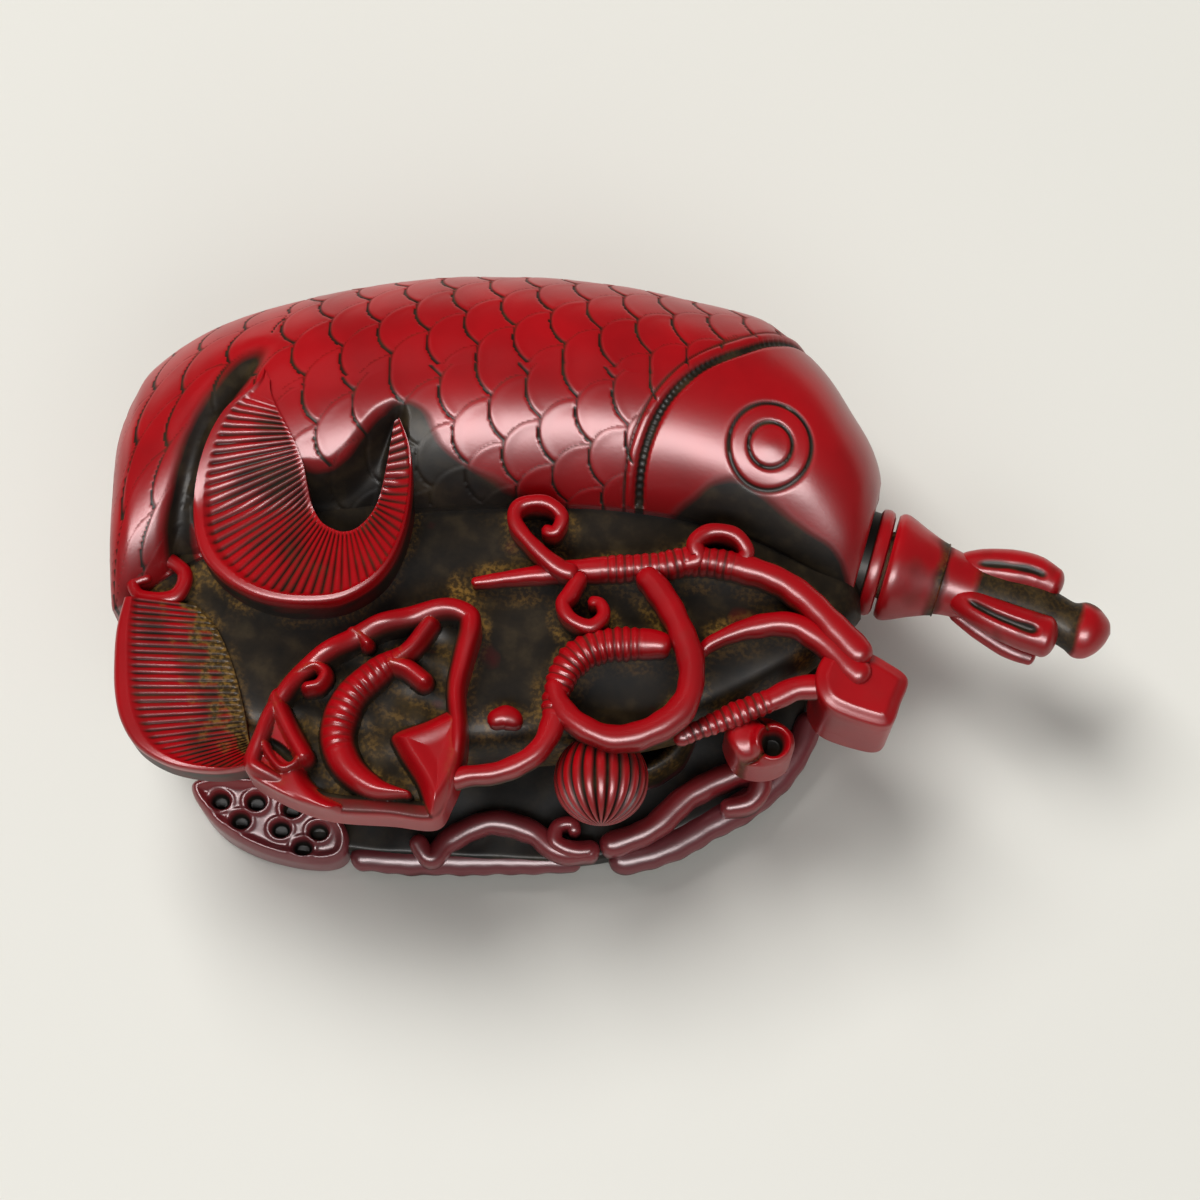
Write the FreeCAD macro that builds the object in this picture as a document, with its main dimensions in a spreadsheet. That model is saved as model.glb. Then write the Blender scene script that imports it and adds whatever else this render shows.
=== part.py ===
import FreeCAD, Part
import Sketcher
import math
import os

# A carved snuff bottle in the shape of a carp among lotus plants, with its stopper and spoon.
#
# The bottle lies on its back: +Z leaves the carved face that looks up, and +X runs out of the
# mouth along the neck. The origin is the middle of the footprint, on the table.
#
# The carving is laid out on a plan of its own. The plan's x runs along the fish from its foot to
# its mouth, its y runs across from belly to back, and its z rises from the back face. The neck
# leans against that plan, so all that is drawn on it is turned by the lean angle about the mouth.
# Everything else is drawn from the middle of the mouth, along the neck. Lengths are millimetres.

V = FreeCAD.Vector
X_AXIS = V(1, 0, 0)
Z_AXIS = V(0, 0, 1)
doc = FreeCAD.newDocument("carp_snuff_bottle")

# Driving dimensions

SIZES = {
    # The block that the bottle is carved from, and the neck's lean on it
    "block_thickness": 28.0,
    "ground_thickness": 12.0,
    "lean_angle": 16.0,
    "worn_depth": 0.4,
    # Where the mouth lies on the plan
    "mouth_x": 24.8,
    "mouth_y": -0.2,
    # The neck
    "lip_radius": 5.0,
    "lip_length": 1.8,
    "lip_bevel": 0.4,
    "groove_radius": 4.5,
    "groove_length": 1.0,
    "neck_radius": 5.6,
    "neck_root": 7.0,
    # The hollow for the snuff
    "bore_radius": 3.2,
    "bore_length": 6.5,
    "throat_radius": 4.8,
    "throat_depth": 11.5,
    "waist_radius": 5.5,
    "waist_depth": 22.0,
    "chamber_radius": 7.2,
    "chamber_depth": 36.0,
    "chamber_length": 10.0,
    "end_radius": 3.6,
    "hollow_depth": 52.0,
    # The stopper's collar and cork
    "seat_gap": 0.3,
    "collar_radius": 5.0,
    "collar_edge": 1.2,
    "collar_length": 5.0,
    "collar_bevel": 0.5,
    "collar_neck_radius": 3.4,
    "cork_length": 6.0,
    "cork_clearance": 0.05,
    "cork_taper": 0.35,
    # The stopper's finial, a lotus bud between two petals
    "finial_length": 16.4,
    "finial_root_radius": 3.1,
    "bud_radius": 3.5,
    "petal_radius": 1.9,
    "petal_spread": 3.3,
    "petal_length": 10.5,
    # The spoon
    "spoon_rod_radius": 0.65,
    "spoon_socket": 3.0,
    "spoon_reach": 33.0,
    "spoon_bowl_length": 6.0,
    "spoon_bowl_width": 3.2,
    "spoon_bowl_height": 1.6,
    "spoon_wall": 0.4,
    # Carving
    "front_relief": 4.6,
    "leaf_dish": 1.6,
    "leaf_rim": 1.7,
    "pad_bevel": 1.0,
    "curl_width": 1.6,
    "fin_rib_width": 0.7,
    "fin_rib_depth": 0.6,
    "gill_groove": 0.5,
    "eye_radius": 3.7,
    "pupil_radius": 1.95,
    "eye_groove": 0.35,
    "bud_ribs": 11,
    "bud_rib_depth": 0.5,
    "ball_radius": 4.2,
    "pod_radius": 6.6,
    "pod_length": 8.0,
    "pod_hole_radius": 0.9,
    "pod_hole_depth": 1.5,
}

sheet = doc.addObject("Spreadsheet::Sheet", "sizes")
for row, (alias, value) in enumerate(SIZES.items(), start=1):
    sheet.set(f"A{row}", alias)
    sheet.set(f"B{row}", str(value))
    sheet.setAlias(f"B{row}", alias)
doc.recompute()


def size(alias):
    """The value of one named cell of the sheet."""
    return float(sheet.get(alias))


MID_Z = size("block_thickness") / 2
GROUND = size("ground_thickness") / 2
FRONT_TOP = MID_Z + GROUND + size("front_relief")
MOUTH = V(size("mouth_x"), size("mouth_y"), MID_Z)
TURN = FreeCAD.Rotation(Z_AXIS, size("lean_angle"))
# From the plan to the neck's own axes, whose origin is the middle of the mouth
ON_PLAN = FreeCAD.Placement(TURN.multVec(-MOUTH), TURN)


# Shapes that the carving is made of

def closed_curve(points):
    curve = Part.BSplineCurve()
    curve.interpolate(points, PeriodicFlag=True)
    return Part.Wire(curve.toShape())


def closed_polygon(points):
    return Part.makePolygon(points + points[:1])


def ring(centre, along, width, height, count=8):
    """An upright oval round a centre, square to a level direction, cut in small flats."""
    side = V(-along.y, along.x, 0).normalize()
    turns = [2 * math.pi * (i + 0.5) / count for i in range(count)]
    return closed_polygon([centre + side * (width * math.cos(a)) + Z_AXIS * (height * math.sin(a))
                           for a in turns])


def directions(points):
    """The direction of a route at each of its points, taken between that point's neighbours."""
    last = len(points) - 1
    return [points[min(i + 1, last)] - points[max(i - 1, 0)] for i in range(last + 1)]


def ridge(route, widths, level, height, step=2.2):
    """A carved stem: a rounded ridge that follows a smooth route, cut in short straight facets."""
    curve = Part.BSplineCurve()
    curve.interpolate([V(x, y, level) for x, y in route])
    last = max(round(curve.length() / step), 4)
    points = curve.discretize(Number=last + 1)
    rings = []
    for i, (point, way) in enumerate(zip(points, directions(points))):
        width = widths[0] + (widths[1] - widths[0]) * i / last
        rings.append(ring(point, way, width / 2, height))
    return Part.makeLoft(rings, True, True)


def inset(points, distance):
    """A closed outline moved inwards, each point along the line to the outline's middle."""
    middle = V(0, 0, 0)
    for point in points:
        middle += point
    middle = middle * (1 / len(points))
    moved = []
    for point in points:
        spoke = point - middle
        moved.append(middle + spoke * max(1 - distance / spoke.Length, 0.2))
    return moved


def pad(outline, low, high, bevel=None, step=1.6):
    """A raised field of the relief: a smooth outline carried up, with its upper edge bevelled."""
    bevel = size("pad_bevel") if bevel is None else bevel
    curve = Part.BSplineCurve()
    curve.interpolate([V(x, y, 0) for x, y in outline], PeriodicFlag=True)
    flat = curve.discretize(Number=max(round(curve.length() / step), 8) + 1)[:-1]
    levels = ((flat, low), (flat, high - bevel), (inset(flat, bevel), high))
    wires = [closed_polygon([point + Z_AXIS * level for point in points]) for points, level in levels]
    return Part.makeLoft(wires, True, True)


def wedge(start, end, width, depth):
    """A cutter for one straight groove between two spots, pointed below and open above."""
    way = end - start
    side = V(-way.y, way.x, 0).normalize() * (width / 2)
    rise = Z_AXIS * (depth * 0.5)
    rings = [closed_polygon([spot - side + rise, spot - Z_AXIS * depth, spot + side + rise])
             for spot in (start, end)]
    return Part.makeLoft(rings, True, True)


def ribbed(form, outer, inner, ribs, top):
    """A fin: a raised field whose top is cut with grooves that run in from its outer line."""
    lines = []
    for points in (outer, inner):
        curve = Part.BSplineCurve()
        curve.interpolate([V(x, y, top) for x, y in points])
        lines.append(curve.discretize(Number=ribs + 2)[1:-1])
    grooves = []
    for rim, root in zip(*lines):
        way = root - rim
        start = rim + way * (1.6 / way.Length)
        end = root - way * (1.2 / way.Length)
        grooves.append(wedge(start, end, size("fin_rib_width"), size("fin_rib_depth")))
    return form.cut(Part.makeCompound(grooves))


def other_side(shape):
    """The same form on the face that the bottle lies on."""
    return shape.mirror(V(0, 0, MID_Z), Z_AXIS)


def carving(name, shape):
    """A form drawn on the plan, set against the neck."""
    feature = doc.addObject("Part::Feature", name)
    feature.Shape = shape
    feature.Placement = ON_PLAN
    return feature


# The block: the fish's thick flank along the back, and level ground below it

# Each station gives its place along the fish, then the back, the belly's edge and the middle of
# the flank across it, then the flank's half width, and at last how much of the block's and of the
# ground's thickness it has.
STATIONS = (
    (-45.4, 10.5, -11.0, 1.5, 8.2, 0.47, 0.67),
    (-44.6, 14.0, -13.8, 3.0, 10.0, 0.66, 0.87),
    (-42.0, 18.6, -16.2, 6.0, 12.0, 0.83, 1.0),
    (-36.5, 22.2, -18.0, 9.6, 12.6, 0.92, 1.0),
    (-28.0, 25.0, -19.2, 12.2, 12.8, 0.97, 1.0),
    (-17.0, 26.8, -19.6, 14.0, 12.8, 1.0, 1.0),
    (-5.0, 26.8, -18.8, 14.2, 12.6, 1.0, 1.0),
    (6.0, 25.1, -16.8, 12.9, 12.2, 0.99, 1.0),
    (14.0, 22.3, -12.8, 10.4, 11.9, 0.93, 0.97),
    (19.5, 17.2, -8.4, 6.9, 10.3, 0.76, 0.87),
    (23.4, 11.0, -6.0, 3.4, 7.6, 0.51, 0.73),
)
FLANK_ANGLES = (0, 26, 52, 78, 104, 128, 147)
GROUND_STEPS = (0.25, 0.55, 0.86)
EDGE_FALL = 0.85


def between_stations(place):
    """A station at any place along the fish, on smooth lines through the ones above."""
    spots = [station for station in STATIONS if station[0] <= place]
    i = min(max(len(spots) - 1, 0), len(STATIONS) - 2)
    a, b = STATIONS[i], STATIONS[i + 1]
    before, after = STATIONS[max(i - 1, 0)], STATIONS[min(i + 2, len(STATIONS) - 1)]
    t = (place - a[0]) / (b[0] - a[0])
    station = [place]
    for value in range(1, len(a)):
        start = (b[value] - before[value]) / (b[0] - before[0]) * (b[0] - a[0])
        end = (after[value] - a[value]) / (after[0] - a[0]) * (b[0] - a[0])
        station.append((2 * t**3 - 3 * t**2 + 1) * a[value] + (t**3 - 2 * t**2 + t) * start
                       + (3 * t**2 - 2 * t**3) * b[value] + (t**3 - t**2) * end)
    return station


def block_section(place, back, belly, middle, half_width, block_share, ground_share):
    """The block's outline at one station: a flank that runs out into level ground."""
    half_height = MID_Z * block_share
    ground = GROUND * ground_share
    upper = []
    for degrees in FLANK_ANGLES:
        angle = math.radians(degrees)
        reach = back - middle if degrees < 90 else half_width
        upper.append((middle + reach * math.cos(angle), half_height * math.sin(angle)))
    foot = upper[-1][0]
    falls = (1.0, 1.0, EDGE_FALL)
    for step, fall in zip(GROUND_STEPS, falls):
        upper.append((foot + (belly - foot) * step, ground * fall))
    lower = [(y, -z) for y, z in reversed(upper[1:])]
    outline = upper + [(belly, 0.0)] + lower
    return closed_curve([V(place, y, MID_Z + z) for y, z in outline])


SECTION_PLACES = (-45.4, -45.0, -44.2, -43.0, -41.0, -38.0, -34.0, -29.0, -23.0, -16.0, -9.0, -2.0,
                  4.0, 9.0, 13.0, 16.5, 19.5, 21.8, 23.4)

sections = [block_section(*between_stations(place)) for place in SECTION_PLACES]
block_shape = Part.makeLoft(sections, True, True)

# The fish's head: a groove along the gill and two round the eye, on both flanks

GILL = ((17.0, 18.6), (14.5, 17.8), (11.7, 16.3), (7.6, 13.9), (4.5, 10.6), (2.7, 6.8), (2.2, 3.1),
        (2.9, -0.2))
EYE = (13.8, 7.1)


def on_flank(x, y):
    """The spot on the upper flank over a place on the plan."""
    _, back, belly, middle, half_width, block_share, ground_share = between_stations(x)
    reach = back - middle if y > middle else half_width
    across = min(abs(y - middle) / reach, 1)
    return V(x, y, MID_Z + MID_Z * block_share * math.sqrt(1 - across**2))


def groove(spots, radius):
    """A cutter for a groove that follows spots on a surface."""
    rings = [ring(spot, way, radius, radius, 6) for spot, way in zip(spots, directions(spots))]
    return Part.makeLoft(rings, True, True)


def half_round(radius, start):
    """Spots half way round the eye, from a starting angle in degrees."""
    spots = []
    for i in range(10):
        angle = math.radians(start - 4 + i * 188 / 9)
        spots.append(on_flank(EYE[0] + radius * math.cos(angle), EYE[1] + radius * math.sin(angle)))
    return spots


gill_curve = Part.BSplineCurve()
gill_curve.interpolate([on_flank(x, y) for x, y in GILL])
gill_groove = groove(gill_curve.discretize(Number=15), size("gill_groove"))
for start in (0, 180):
    cutters = [groove(half_round(size(name), start), size("eye_groove"))
               for name in ("eye_radius", "pupil_radius")]
    if start == 0:
        cutters.append(gill_groove)
    cutters += [other_side(cutter) for cutter in cutters]
    block_shape = block_shape.cut(Part.makeCompound(cutters))
block = carving("block", block_shape)

# The relief on the front

TAIL_RIM = (
    (-31.6, 12.6), (-34.5, 10.0), (-36.4, 6.2), (-37.3, 1.5), (-36.6, -2.2), (-34.3, -4.9),
    (-31.0, -6.6), (-27.2, -7.1), (-23.7, -6.6), (-20.6, -4.5), (-18.8, -1.2), (-18.0, 2.9),
    (-18.2, 6.7),
)
TAIL_ROOT = ((-29.9, 9.1), (-28.3, 6.3), (-27.3, 3.4), (-26.4, 1.1), (-24.1, 0.2), (-21.9, 1.6), (-20.6, 5.6))
SIDE_RIM = ((-43.7, -6.4), (-44.1, -11.7), (-43.4, -16.6), (-41.8, -19.3), (-38.7, -21.1), (-34.8, -21.7))
SIDE_ROOT = ((-37.9, -5.9), (-34.7, -7.9), (-33.2, -11.1), (-32.8, -14.8), (-32.4, -18.6))
TAIL_FAN = TAIL_RIM + (
    (-19.7, 9.1), (-21.9, 1.6), (-24.1, 0.2), (-26.4, 1.1), (-27.3, 3.4), (-28.3, 6.3),
    (-29.7, 8.7),
)
SIDE_FAN = (
    (-43.6, -5.4), (-44.1, -11.7), (-43.4, -16.6), (-41.8, -19.3), (-38.7, -21.1),
    (-34.8, -21.7), (-31.9, -20.8), (-32.8, -14.8), (-33.2, -11.1), (-34.7, -7.9), (-37.9, -5.6),
)
LEAF = (
    (-31.7, -21.1), (-30.7, -17.3), (-28.4, -13.7), (-25.0, -10.6), (-20.6, -8.3),
    (-16.3, -6.7), (-13.2, -6.5), (-11.4, -8.1), (-11.6, -10.6), (-12.8, -13.7), (-13.3, -16.9),
    (-12.8, -19.6), (-13.8, -22.2), (-15.4, -24.9), (-18.6, -24.9), (-23.8, -24.6),
    (-28.2, -22.9),
)
LEAF_VEIN = ((-16.7, -8.8), (-18.4, -10.6), (-21.4, -12.4), (-23.5, -15.5), (-23.9, -18.7),
             (-22.5, -21.3), (-19.4, -23.5))
SCROLL_STEM = ((-12.8, -4.2), (-6.6, -3.5), (-1.3, -3.2), (4.0, -3.0), (7.5, -2.5),
               (12.8, -3.7), (16.3, -5.6), (19.8, -9.2), (22.3, -11.9))
RIBBED_STEM = ((-13.2, -22.0), (-10.0, -21.6), (-6.9, -20.0), (-5.4, -17.3), (-5.1, -14.6),
               (-3.9, -11.9), (-1.3, -10.3), (3.1, -10.1))
LOOP_STEM = ((3.5, -5.0), (5.5, -8.6), (6.7, -12.2), (6.1, -15.8), (3.5, -18.0),
             (0.0, -18.9), (-3.0, -17.7), (-4.8, -15.8))
UPPER_STEM = ((8.6, -9.8), (11.9, -8.5), (15.5, -8.2), (18.5, -9.8), (20.7, -12.1), (22.8, -13.9))
LOWER_STEM = ((6.6, -17.7), (10.2, -16.2), (13.7, -14.8), (16.4, -13.7), (19.9, -13.9),
              (22.5, -14.8))
STEM_END = ((20.2, -10.9), (23.0, -11.2), (25.6, -12.8), (25.5, -15.2), (24.2, -17.1),
            (21.8, -16.6), (19.6, -15.2), (19.3, -12.9))
FLOWER = ((10.4, -17.2), (12.0, -16.0), (14.2, -16.3), (15.0, -18.0), (14.2, -19.8),
          (12.2, -20.3), (10.6, -19.2))
NUB = ((-11.0, -17.2), (-9.6, -16.0), (-8.2, -16.8), (-9.4, -17.8))
UPPER_CURL = ((-3.2, -3.9), (-4.8, -3.5), (-7.0, -1.7), (-8.8, 0.6), (-8.0, 2.4), (-5.8, 2.2))
LOWER_CURL = ((-2.8, -3.8), (-4.3, -6.2), (-4.0, -8.1), (-2.2, -8.8), (-1.0, -7.6))
HEAD_CURL = ((5.6, -2.9), (7.2, -1.4), (8.9, -0.4), (10.9, -0.8), (11.7, -2.4))
FOOT_CURL = ((-43.6, -3.2), (-42.0, -1.6), (-39.8, -1.8), (-38.5, -3.4), (-39.6, -5.2))
PANEL = ((-19.1, -18.7), (-16.4, -16.8), (-13.8, -16.8), (-13.4, -19.6), (-15.2, -21.7), (-17.8, -20.9))
EYELID = ((-29.6, -15.2), (-27.6, -17.4), (-25.0, -20.2))
BALL_CENTRE = V(-1.2, -21.4, MID_Z + 4.0)

FAN_TOP = FRONT_TOP + 0.4
ROOT_Z = MID_Z + 1.0
STEM_LEVEL = MID_Z + GROUND - 0.6
STEM_HEIGHT = FRONT_TOP - STEM_LEVEL

SIDE_TOP = FRONT_TOP - 1.4


def ribbed_ball():
    """The lotus bud: a ball cut with ribs that run from pole to pole."""
    radius = size("ball_radius")
    ribs = round(size("bud_ribs"))
    rings = []
    for tilt in (-72, -48, -24, 0, 24, 48, 72):
        out = radius * math.cos(math.radians(tilt))
        spots = []
        for i in range(2 * ribs):
            angle = math.pi * i / ribs
            reach = out - (i % 2) * size("bud_rib_depth") * out / radius
            along = radius * math.sin(math.radians(tilt))
            spots.append(BALL_CENTRE + V(reach * math.cos(angle), along, reach * math.sin(angle)))
        rings.append(closed_polygon(spots))
    return Part.makeLoft(rings, True, True)


def curl(route, rise=0.0):
    width = size("curl_width")
    return ridge(route, (width, width), STEM_LEVEL, STEM_HEIGHT + rise, 1.4)


tail_fan = ribbed(pad(TAIL_FAN, ROOT_Z, FAN_TOP), TAIL_RIM, TAIL_ROOT, 22, FAN_TOP)
side_fan = ribbed(pad(SIDE_FAN, ROOT_Z, SIDE_TOP), SIDE_RIM, SIDE_ROOT, 14, SIDE_TOP)
relief = [
    carving("tail_fan", tail_fan),
    carving("side_fan", side_fan),
    carving("leaf", pad(LEAF, ROOT_Z, FRONT_TOP - 0.5)),
    carving("stem_end", pad(STEM_END, ROOT_Z, FRONT_TOP - 1.2)),
    carving("flower", pad(FLOWER, ROOT_Z, FRONT_TOP - 3.4)),
    carving("scroll_stem", ridge(SCROLL_STEM, (2.2, 3.0), STEM_LEVEL, STEM_HEIGHT)),
    carving("ribbed_stem", ridge(RIBBED_STEM, (1.8, 3.0), STEM_LEVEL, STEM_HEIGHT - 0.4)),
    carving("loop_stem", ridge(LOOP_STEM, (2.6, 2.4), STEM_LEVEL, STEM_HEIGHT + 0.3)),
    carving("upper_stem", ridge(UPPER_STEM, (1.8, 3.0), STEM_LEVEL, STEM_HEIGHT - 0.8)),
    carving("lower_stem", ridge(LOWER_STEM, (1.8, 3.0), STEM_LEVEL, STEM_HEIGHT - 1.2)),
    carving("nub", pad(NUB, ROOT_Z, FRONT_TOP - 2.4, 0.5, 0.9)),
    carving("upper_curl", curl(UPPER_CURL, 0.4)),
    carving("lower_curl", curl(LOWER_CURL)),
    carving("head_curl", curl(HEAD_CURL, 0.4)),
    carving("foot_curl", curl(FOOT_CURL, -3.2)),
    carving("ribbed_ball", ribbed_ball()),
]

# The relief on the back, which is worn flat where the bottle lies on it

BACK_LEAF = ((-17.2, -21.0), (-17.0, -25.4), (-13.0, -26.4), (-8.0, -26.6), (-3.6, -26.6),
             (-1.0, -24.6), (-2.6, -20.6), (-6.0, -17.0), (-11.0, -15.6), (-15.4, -17.4))
BACK_STEM = ((-1.3, -24.1), (3.3, -22.4), (7.1, -19.4), (11.4, -16.8), (15.8, -13.6),
             (19.0, -9.8))
POD_MIDDLE = V(-31.6, -18.0, MID_Z - 5.6)
POD_HOLES = ((-33.1, -2.0), (-29.8, -2.4), (-34.6, 1.0), (-31.2, 1.6), (-27.9, 0.6))


def seed_pod():
    """The lotus pod: a cup that widens to its face, with a seed hole for each seed."""
    face_y = POD_MIDDLE.y - size("pod_length")
    radius = size("pod_radius")
    heights = ((POD_MIDDLE.y + 3.0, 0.55), (POD_MIDDLE.y - 2.0, 0.86), (face_y, 1.0))
    rings = [ring(V(POD_MIDDLE.x, y, POD_MIDDLE.z), V(0, 1, 0), radius * share, radius * share * 0.82)
             for y, share in heights]
    return Part.makeLoft(rings, True, False), face_y


def seed_holes(face_y):
    holes = []
    for x, z in POD_HOLES:
        start = V(x, face_y - 1.0, POD_MIDDLE.z + z)
        depth = size("pod_hole_depth") + 1.0
        holes.append(Part.makeCylinder(size("pod_hole_radius"), depth, start, V(0, 1, 0)))
    return Part.makeCompound(holes)


pod_shape, pod_face = seed_pod()
relief += [
    carving("back_tail_fan", other_side(pad(TAIL_FAN, ROOT_Z, 2 * MID_Z))),
    carving("back_side_fan", other_side(pad(SIDE_FAN, ROOT_Z, SIDE_TOP))),
    carving("back_leaf", other_side(pad(BACK_LEAF, ROOT_Z, 2 * MID_Z))),
    carving("back_scroll_stem", other_side(ridge(SCROLL_STEM, (2.2, 3.0), STEM_LEVEL, STEM_HEIGHT))),
    carving("back_stem", other_side(ridge(BACK_STEM, (2.4, 3.0), STEM_LEVEL, STEM_HEIGHT))),
    carving("back_pod", pod_shape),
]

# Turned pieces, drawn as a half outline along the neck's axis and revolved


def origin_part(body, role):
    return next(f for f in body.Origin.OriginFeatures if f.Role == role)


def half_outline(body, name, corners):
    """A closed sketch whose corners are held by the sheet, as pairs of expressions."""
    sketch = body.newObject("Sketcher::SketchObject", name)
    sketch.AttachmentSupport = [(origin_part(body, "XY_Plane"), "")]
    sketch.MapMode = "FlatFace"
    count = len(corners)
    spots = [V(10 * math.cos(2 * math.pi * i / count), 10 * math.sin(2 * math.pi * i / count), 0)
             for i in range(count)]
    for i in range(count):
        sketch.addGeometry(Part.LineSegment(spots[i], spots[(i + 1) % count]))
    for i in range(count):
        sketch.addConstraint(Sketcher.Constraint("Coincident", i, 2, (i + 1) % count, 1))
    for i, (along, out) in enumerate(corners):
        for kind, expression, start in (("DistanceX", along, spots[i].x), ("DistanceY", out, spots[i].y)):
            held = sketch.addConstraint(Sketcher.Constraint(kind, -1, 1, i, 1, start))
            sketch.setExpression(f"Constraints[{held}]", expression)
    return sketch


def turned(name, corners):
    """A body revolved about the neck's axis from its half outline."""
    body = doc.addObject("PartDesign::Body", name)
    sketch = half_outline(body, name + "_outline", corners)
    solid = body.newObject("PartDesign::Revolution", name + "_turned")
    solid.Profile = sketch
    solid.ReferenceAxis = (sketch, ["H_Axis"])
    solid.Angle = 360
    body.Tip = solid
    doc.recompute()
    return body


def bevel_off(body, name, width, places):
    """Bevels the circular edges that lie at the given places along the axis and radii."""
    solid = body.Tip
    chosen = []
    for i, edge in enumerate(solid.Shape.Edges, start=1):
        curve = edge.Curve
        if not isinstance(curve, Part.Circle):
            continue
        for place, out in places:
            if abs(curve.Center.x - place) < 0.01 and abs(curve.Radius - out) < 0.01:
                chosen.append(f"Edge{i}")
    bevel = body.newObject("PartDesign::Chamfer", name)
    bevel.Base = (solid, chosen)
    bevel.setExpression("Size", width)
    body.Tip = bevel
    doc.recompute()


neck = turned("neck", (
    ("-sizes.neck_root", "0"),
    ("-sizes.neck_root", "sizes.neck_radius"),
    ("-sizes.lip_length - 2 * sizes.groove_length", "sizes.neck_radius"),
    ("-sizes.lip_length - sizes.groove_length", "sizes.groove_radius"),
    ("-sizes.lip_length", "sizes.groove_radius"),
    ("-sizes.lip_length", "sizes.lip_radius"),
    ("0", "sizes.lip_radius"),
    ("0", "0"),
))
bevel_off(neck, "lip_edges", "sizes.lip_bevel",
          ((0, size("lip_radius")), (-size("lip_length"), size("lip_radius"))))

hollow = turned("hollow", (
    ("1", "0"),
    ("1", "sizes.bore_radius"),
    ("-sizes.bore_length", "sizes.bore_radius"),
    ("-sizes.throat_depth", "sizes.throat_radius"),
    ("-sizes.waist_depth", "sizes.waist_radius"),
    ("-sizes.chamber_depth", "sizes.chamber_radius"),
    ("-sizes.chamber_depth - sizes.chamber_length", "sizes.chamber_radius"),
    ("-sizes.hollow_depth", "sizes.end_radius"),
    ("-sizes.hollow_depth", "0"),
))

# The bottle: block, relief and neck in one, then hollowed, drilled and worn flat where it lies

def fused(name, forms):
    """One solid of many forms, joined in pairs, and those in pairs again."""
    round_number = 1
    while len(forms) > 1:
        joined = []
        for i in range(0, len(forms) - 1, 2):
            step = doc.addObject("Part::Fuse", f"{name}_{round_number}_{i // 2 + 1}")
            step.Refine = False
            step.Base = forms[i]
            step.Tool = forms[i + 1]
            joined.append(step)
        if len(forms) % 2:
            joined.append(forms[-1])
        forms = joined
        round_number += 1
    return forms[0]


raised = fused("raised", relief)
carved = fused("carved", [fused("necked", [block, neck]), raised])
holes = carving("seed_holes", seed_holes(pod_face))

table = doc.addObject("Part::Box", "table")
for side, length in (("Length", "200 mm"), ("Width", "200 mm"), ("Height", "20 mm")):
    table.setExpression(side, length)
table.Placement.Base = V(-100, -100, 0)
table.setExpression("Placement.Base.z", "-sizes.block_thickness / 2 + sizes.worn_depth - 20")

dish_middle = inset([V(x, y, 0) for x, y in LEAF], size("leaf_rim"))
leaf_top = FRONT_TOP - 0.5
dish = carving("leaf_dish", pad([(p.x, p.y) for p in dish_middle], leaf_top - size("leaf_dish"),
                                leaf_top + 2.0, 0.4))
vein = carving("leaf_vein", ridge(LEAF_VEIN, (2.2, 2.8), leaf_top - size("leaf_dish") - 0.6, 1.9))

dished = doc.addObject("Part::Cut", "dished")
dished.Refine = False
dished.Base = carved
dished.Tool = dish
veined = doc.addObject("Part::Fuse", "veined")
veined.Refine = False
veined.Base = dished
veined.Tool = vein
bottle = veined
for name, shape in (("panel", pad(PANEL, leaf_top - size("leaf_dish") - 0.6, leaf_top + 0.2, 0.5, 1.4)),
                    ("eyelid", ridge(EYELID, (1.6, 2.0), leaf_top - size("leaf_dish") - 0.6, 1.9))):
    joined = doc.addObject("Part::Fuse", name + "_added")
    joined.Refine = False
    joined.Base = bottle
    joined.Tool = carving(name, shape)
    bottle = joined
for name, tool in (("hollowed", hollow), ("drilled", holes), ("worn", table)):
    cut = doc.addObject("Part::Cut", name)
    cut.Refine = False
    cut.Base = bottle
    cut.Tool = tool
    bottle = cut
bottle.Label = "bottle_body"

# The stopper

collar = turned("collar", (
    ("sizes.seat_gap", "0"),
    ("sizes.seat_gap", "sizes.collar_radius"),
    ("sizes.seat_gap + sizes.collar_edge", "sizes.collar_radius"),
    ("sizes.seat_gap + sizes.collar_length", "sizes.collar_neck_radius"),
    ("sizes.seat_gap + sizes.collar_length", "0"),
))
bevel_off(collar, "collar_edges", "sizes.collar_bevel", (
    (size("seat_gap"), size("collar_radius")),
    (size("seat_gap") + size("collar_edge"), size("collar_radius")),
))
collar.Label = "stopper_collar"

cork = turned("cork", (
    ("-sizes.cork_length + sizes.seat_gap", "sizes.spoon_rod_radius"),
    ("-sizes.cork_length + sizes.seat_gap",
     "sizes.bore_radius - sizes.cork_clearance - sizes.cork_taper"),
    ("-sizes.cork_length + sizes.seat_gap + 1", "sizes.bore_radius - sizes.cork_clearance"),
    ("sizes.seat_gap", "sizes.bore_radius - sizes.cork_clearance"),
    ("sizes.seat_gap", "0"),
    ("-sizes.cork_length + sizes.seat_gap + sizes.spoon_socket", "0"),
    ("-sizes.cork_length + sizes.seat_gap + sizes.spoon_socket", "sizes.spoon_rod_radius"),
))
cork.Label = "stopper_cork"


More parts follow.
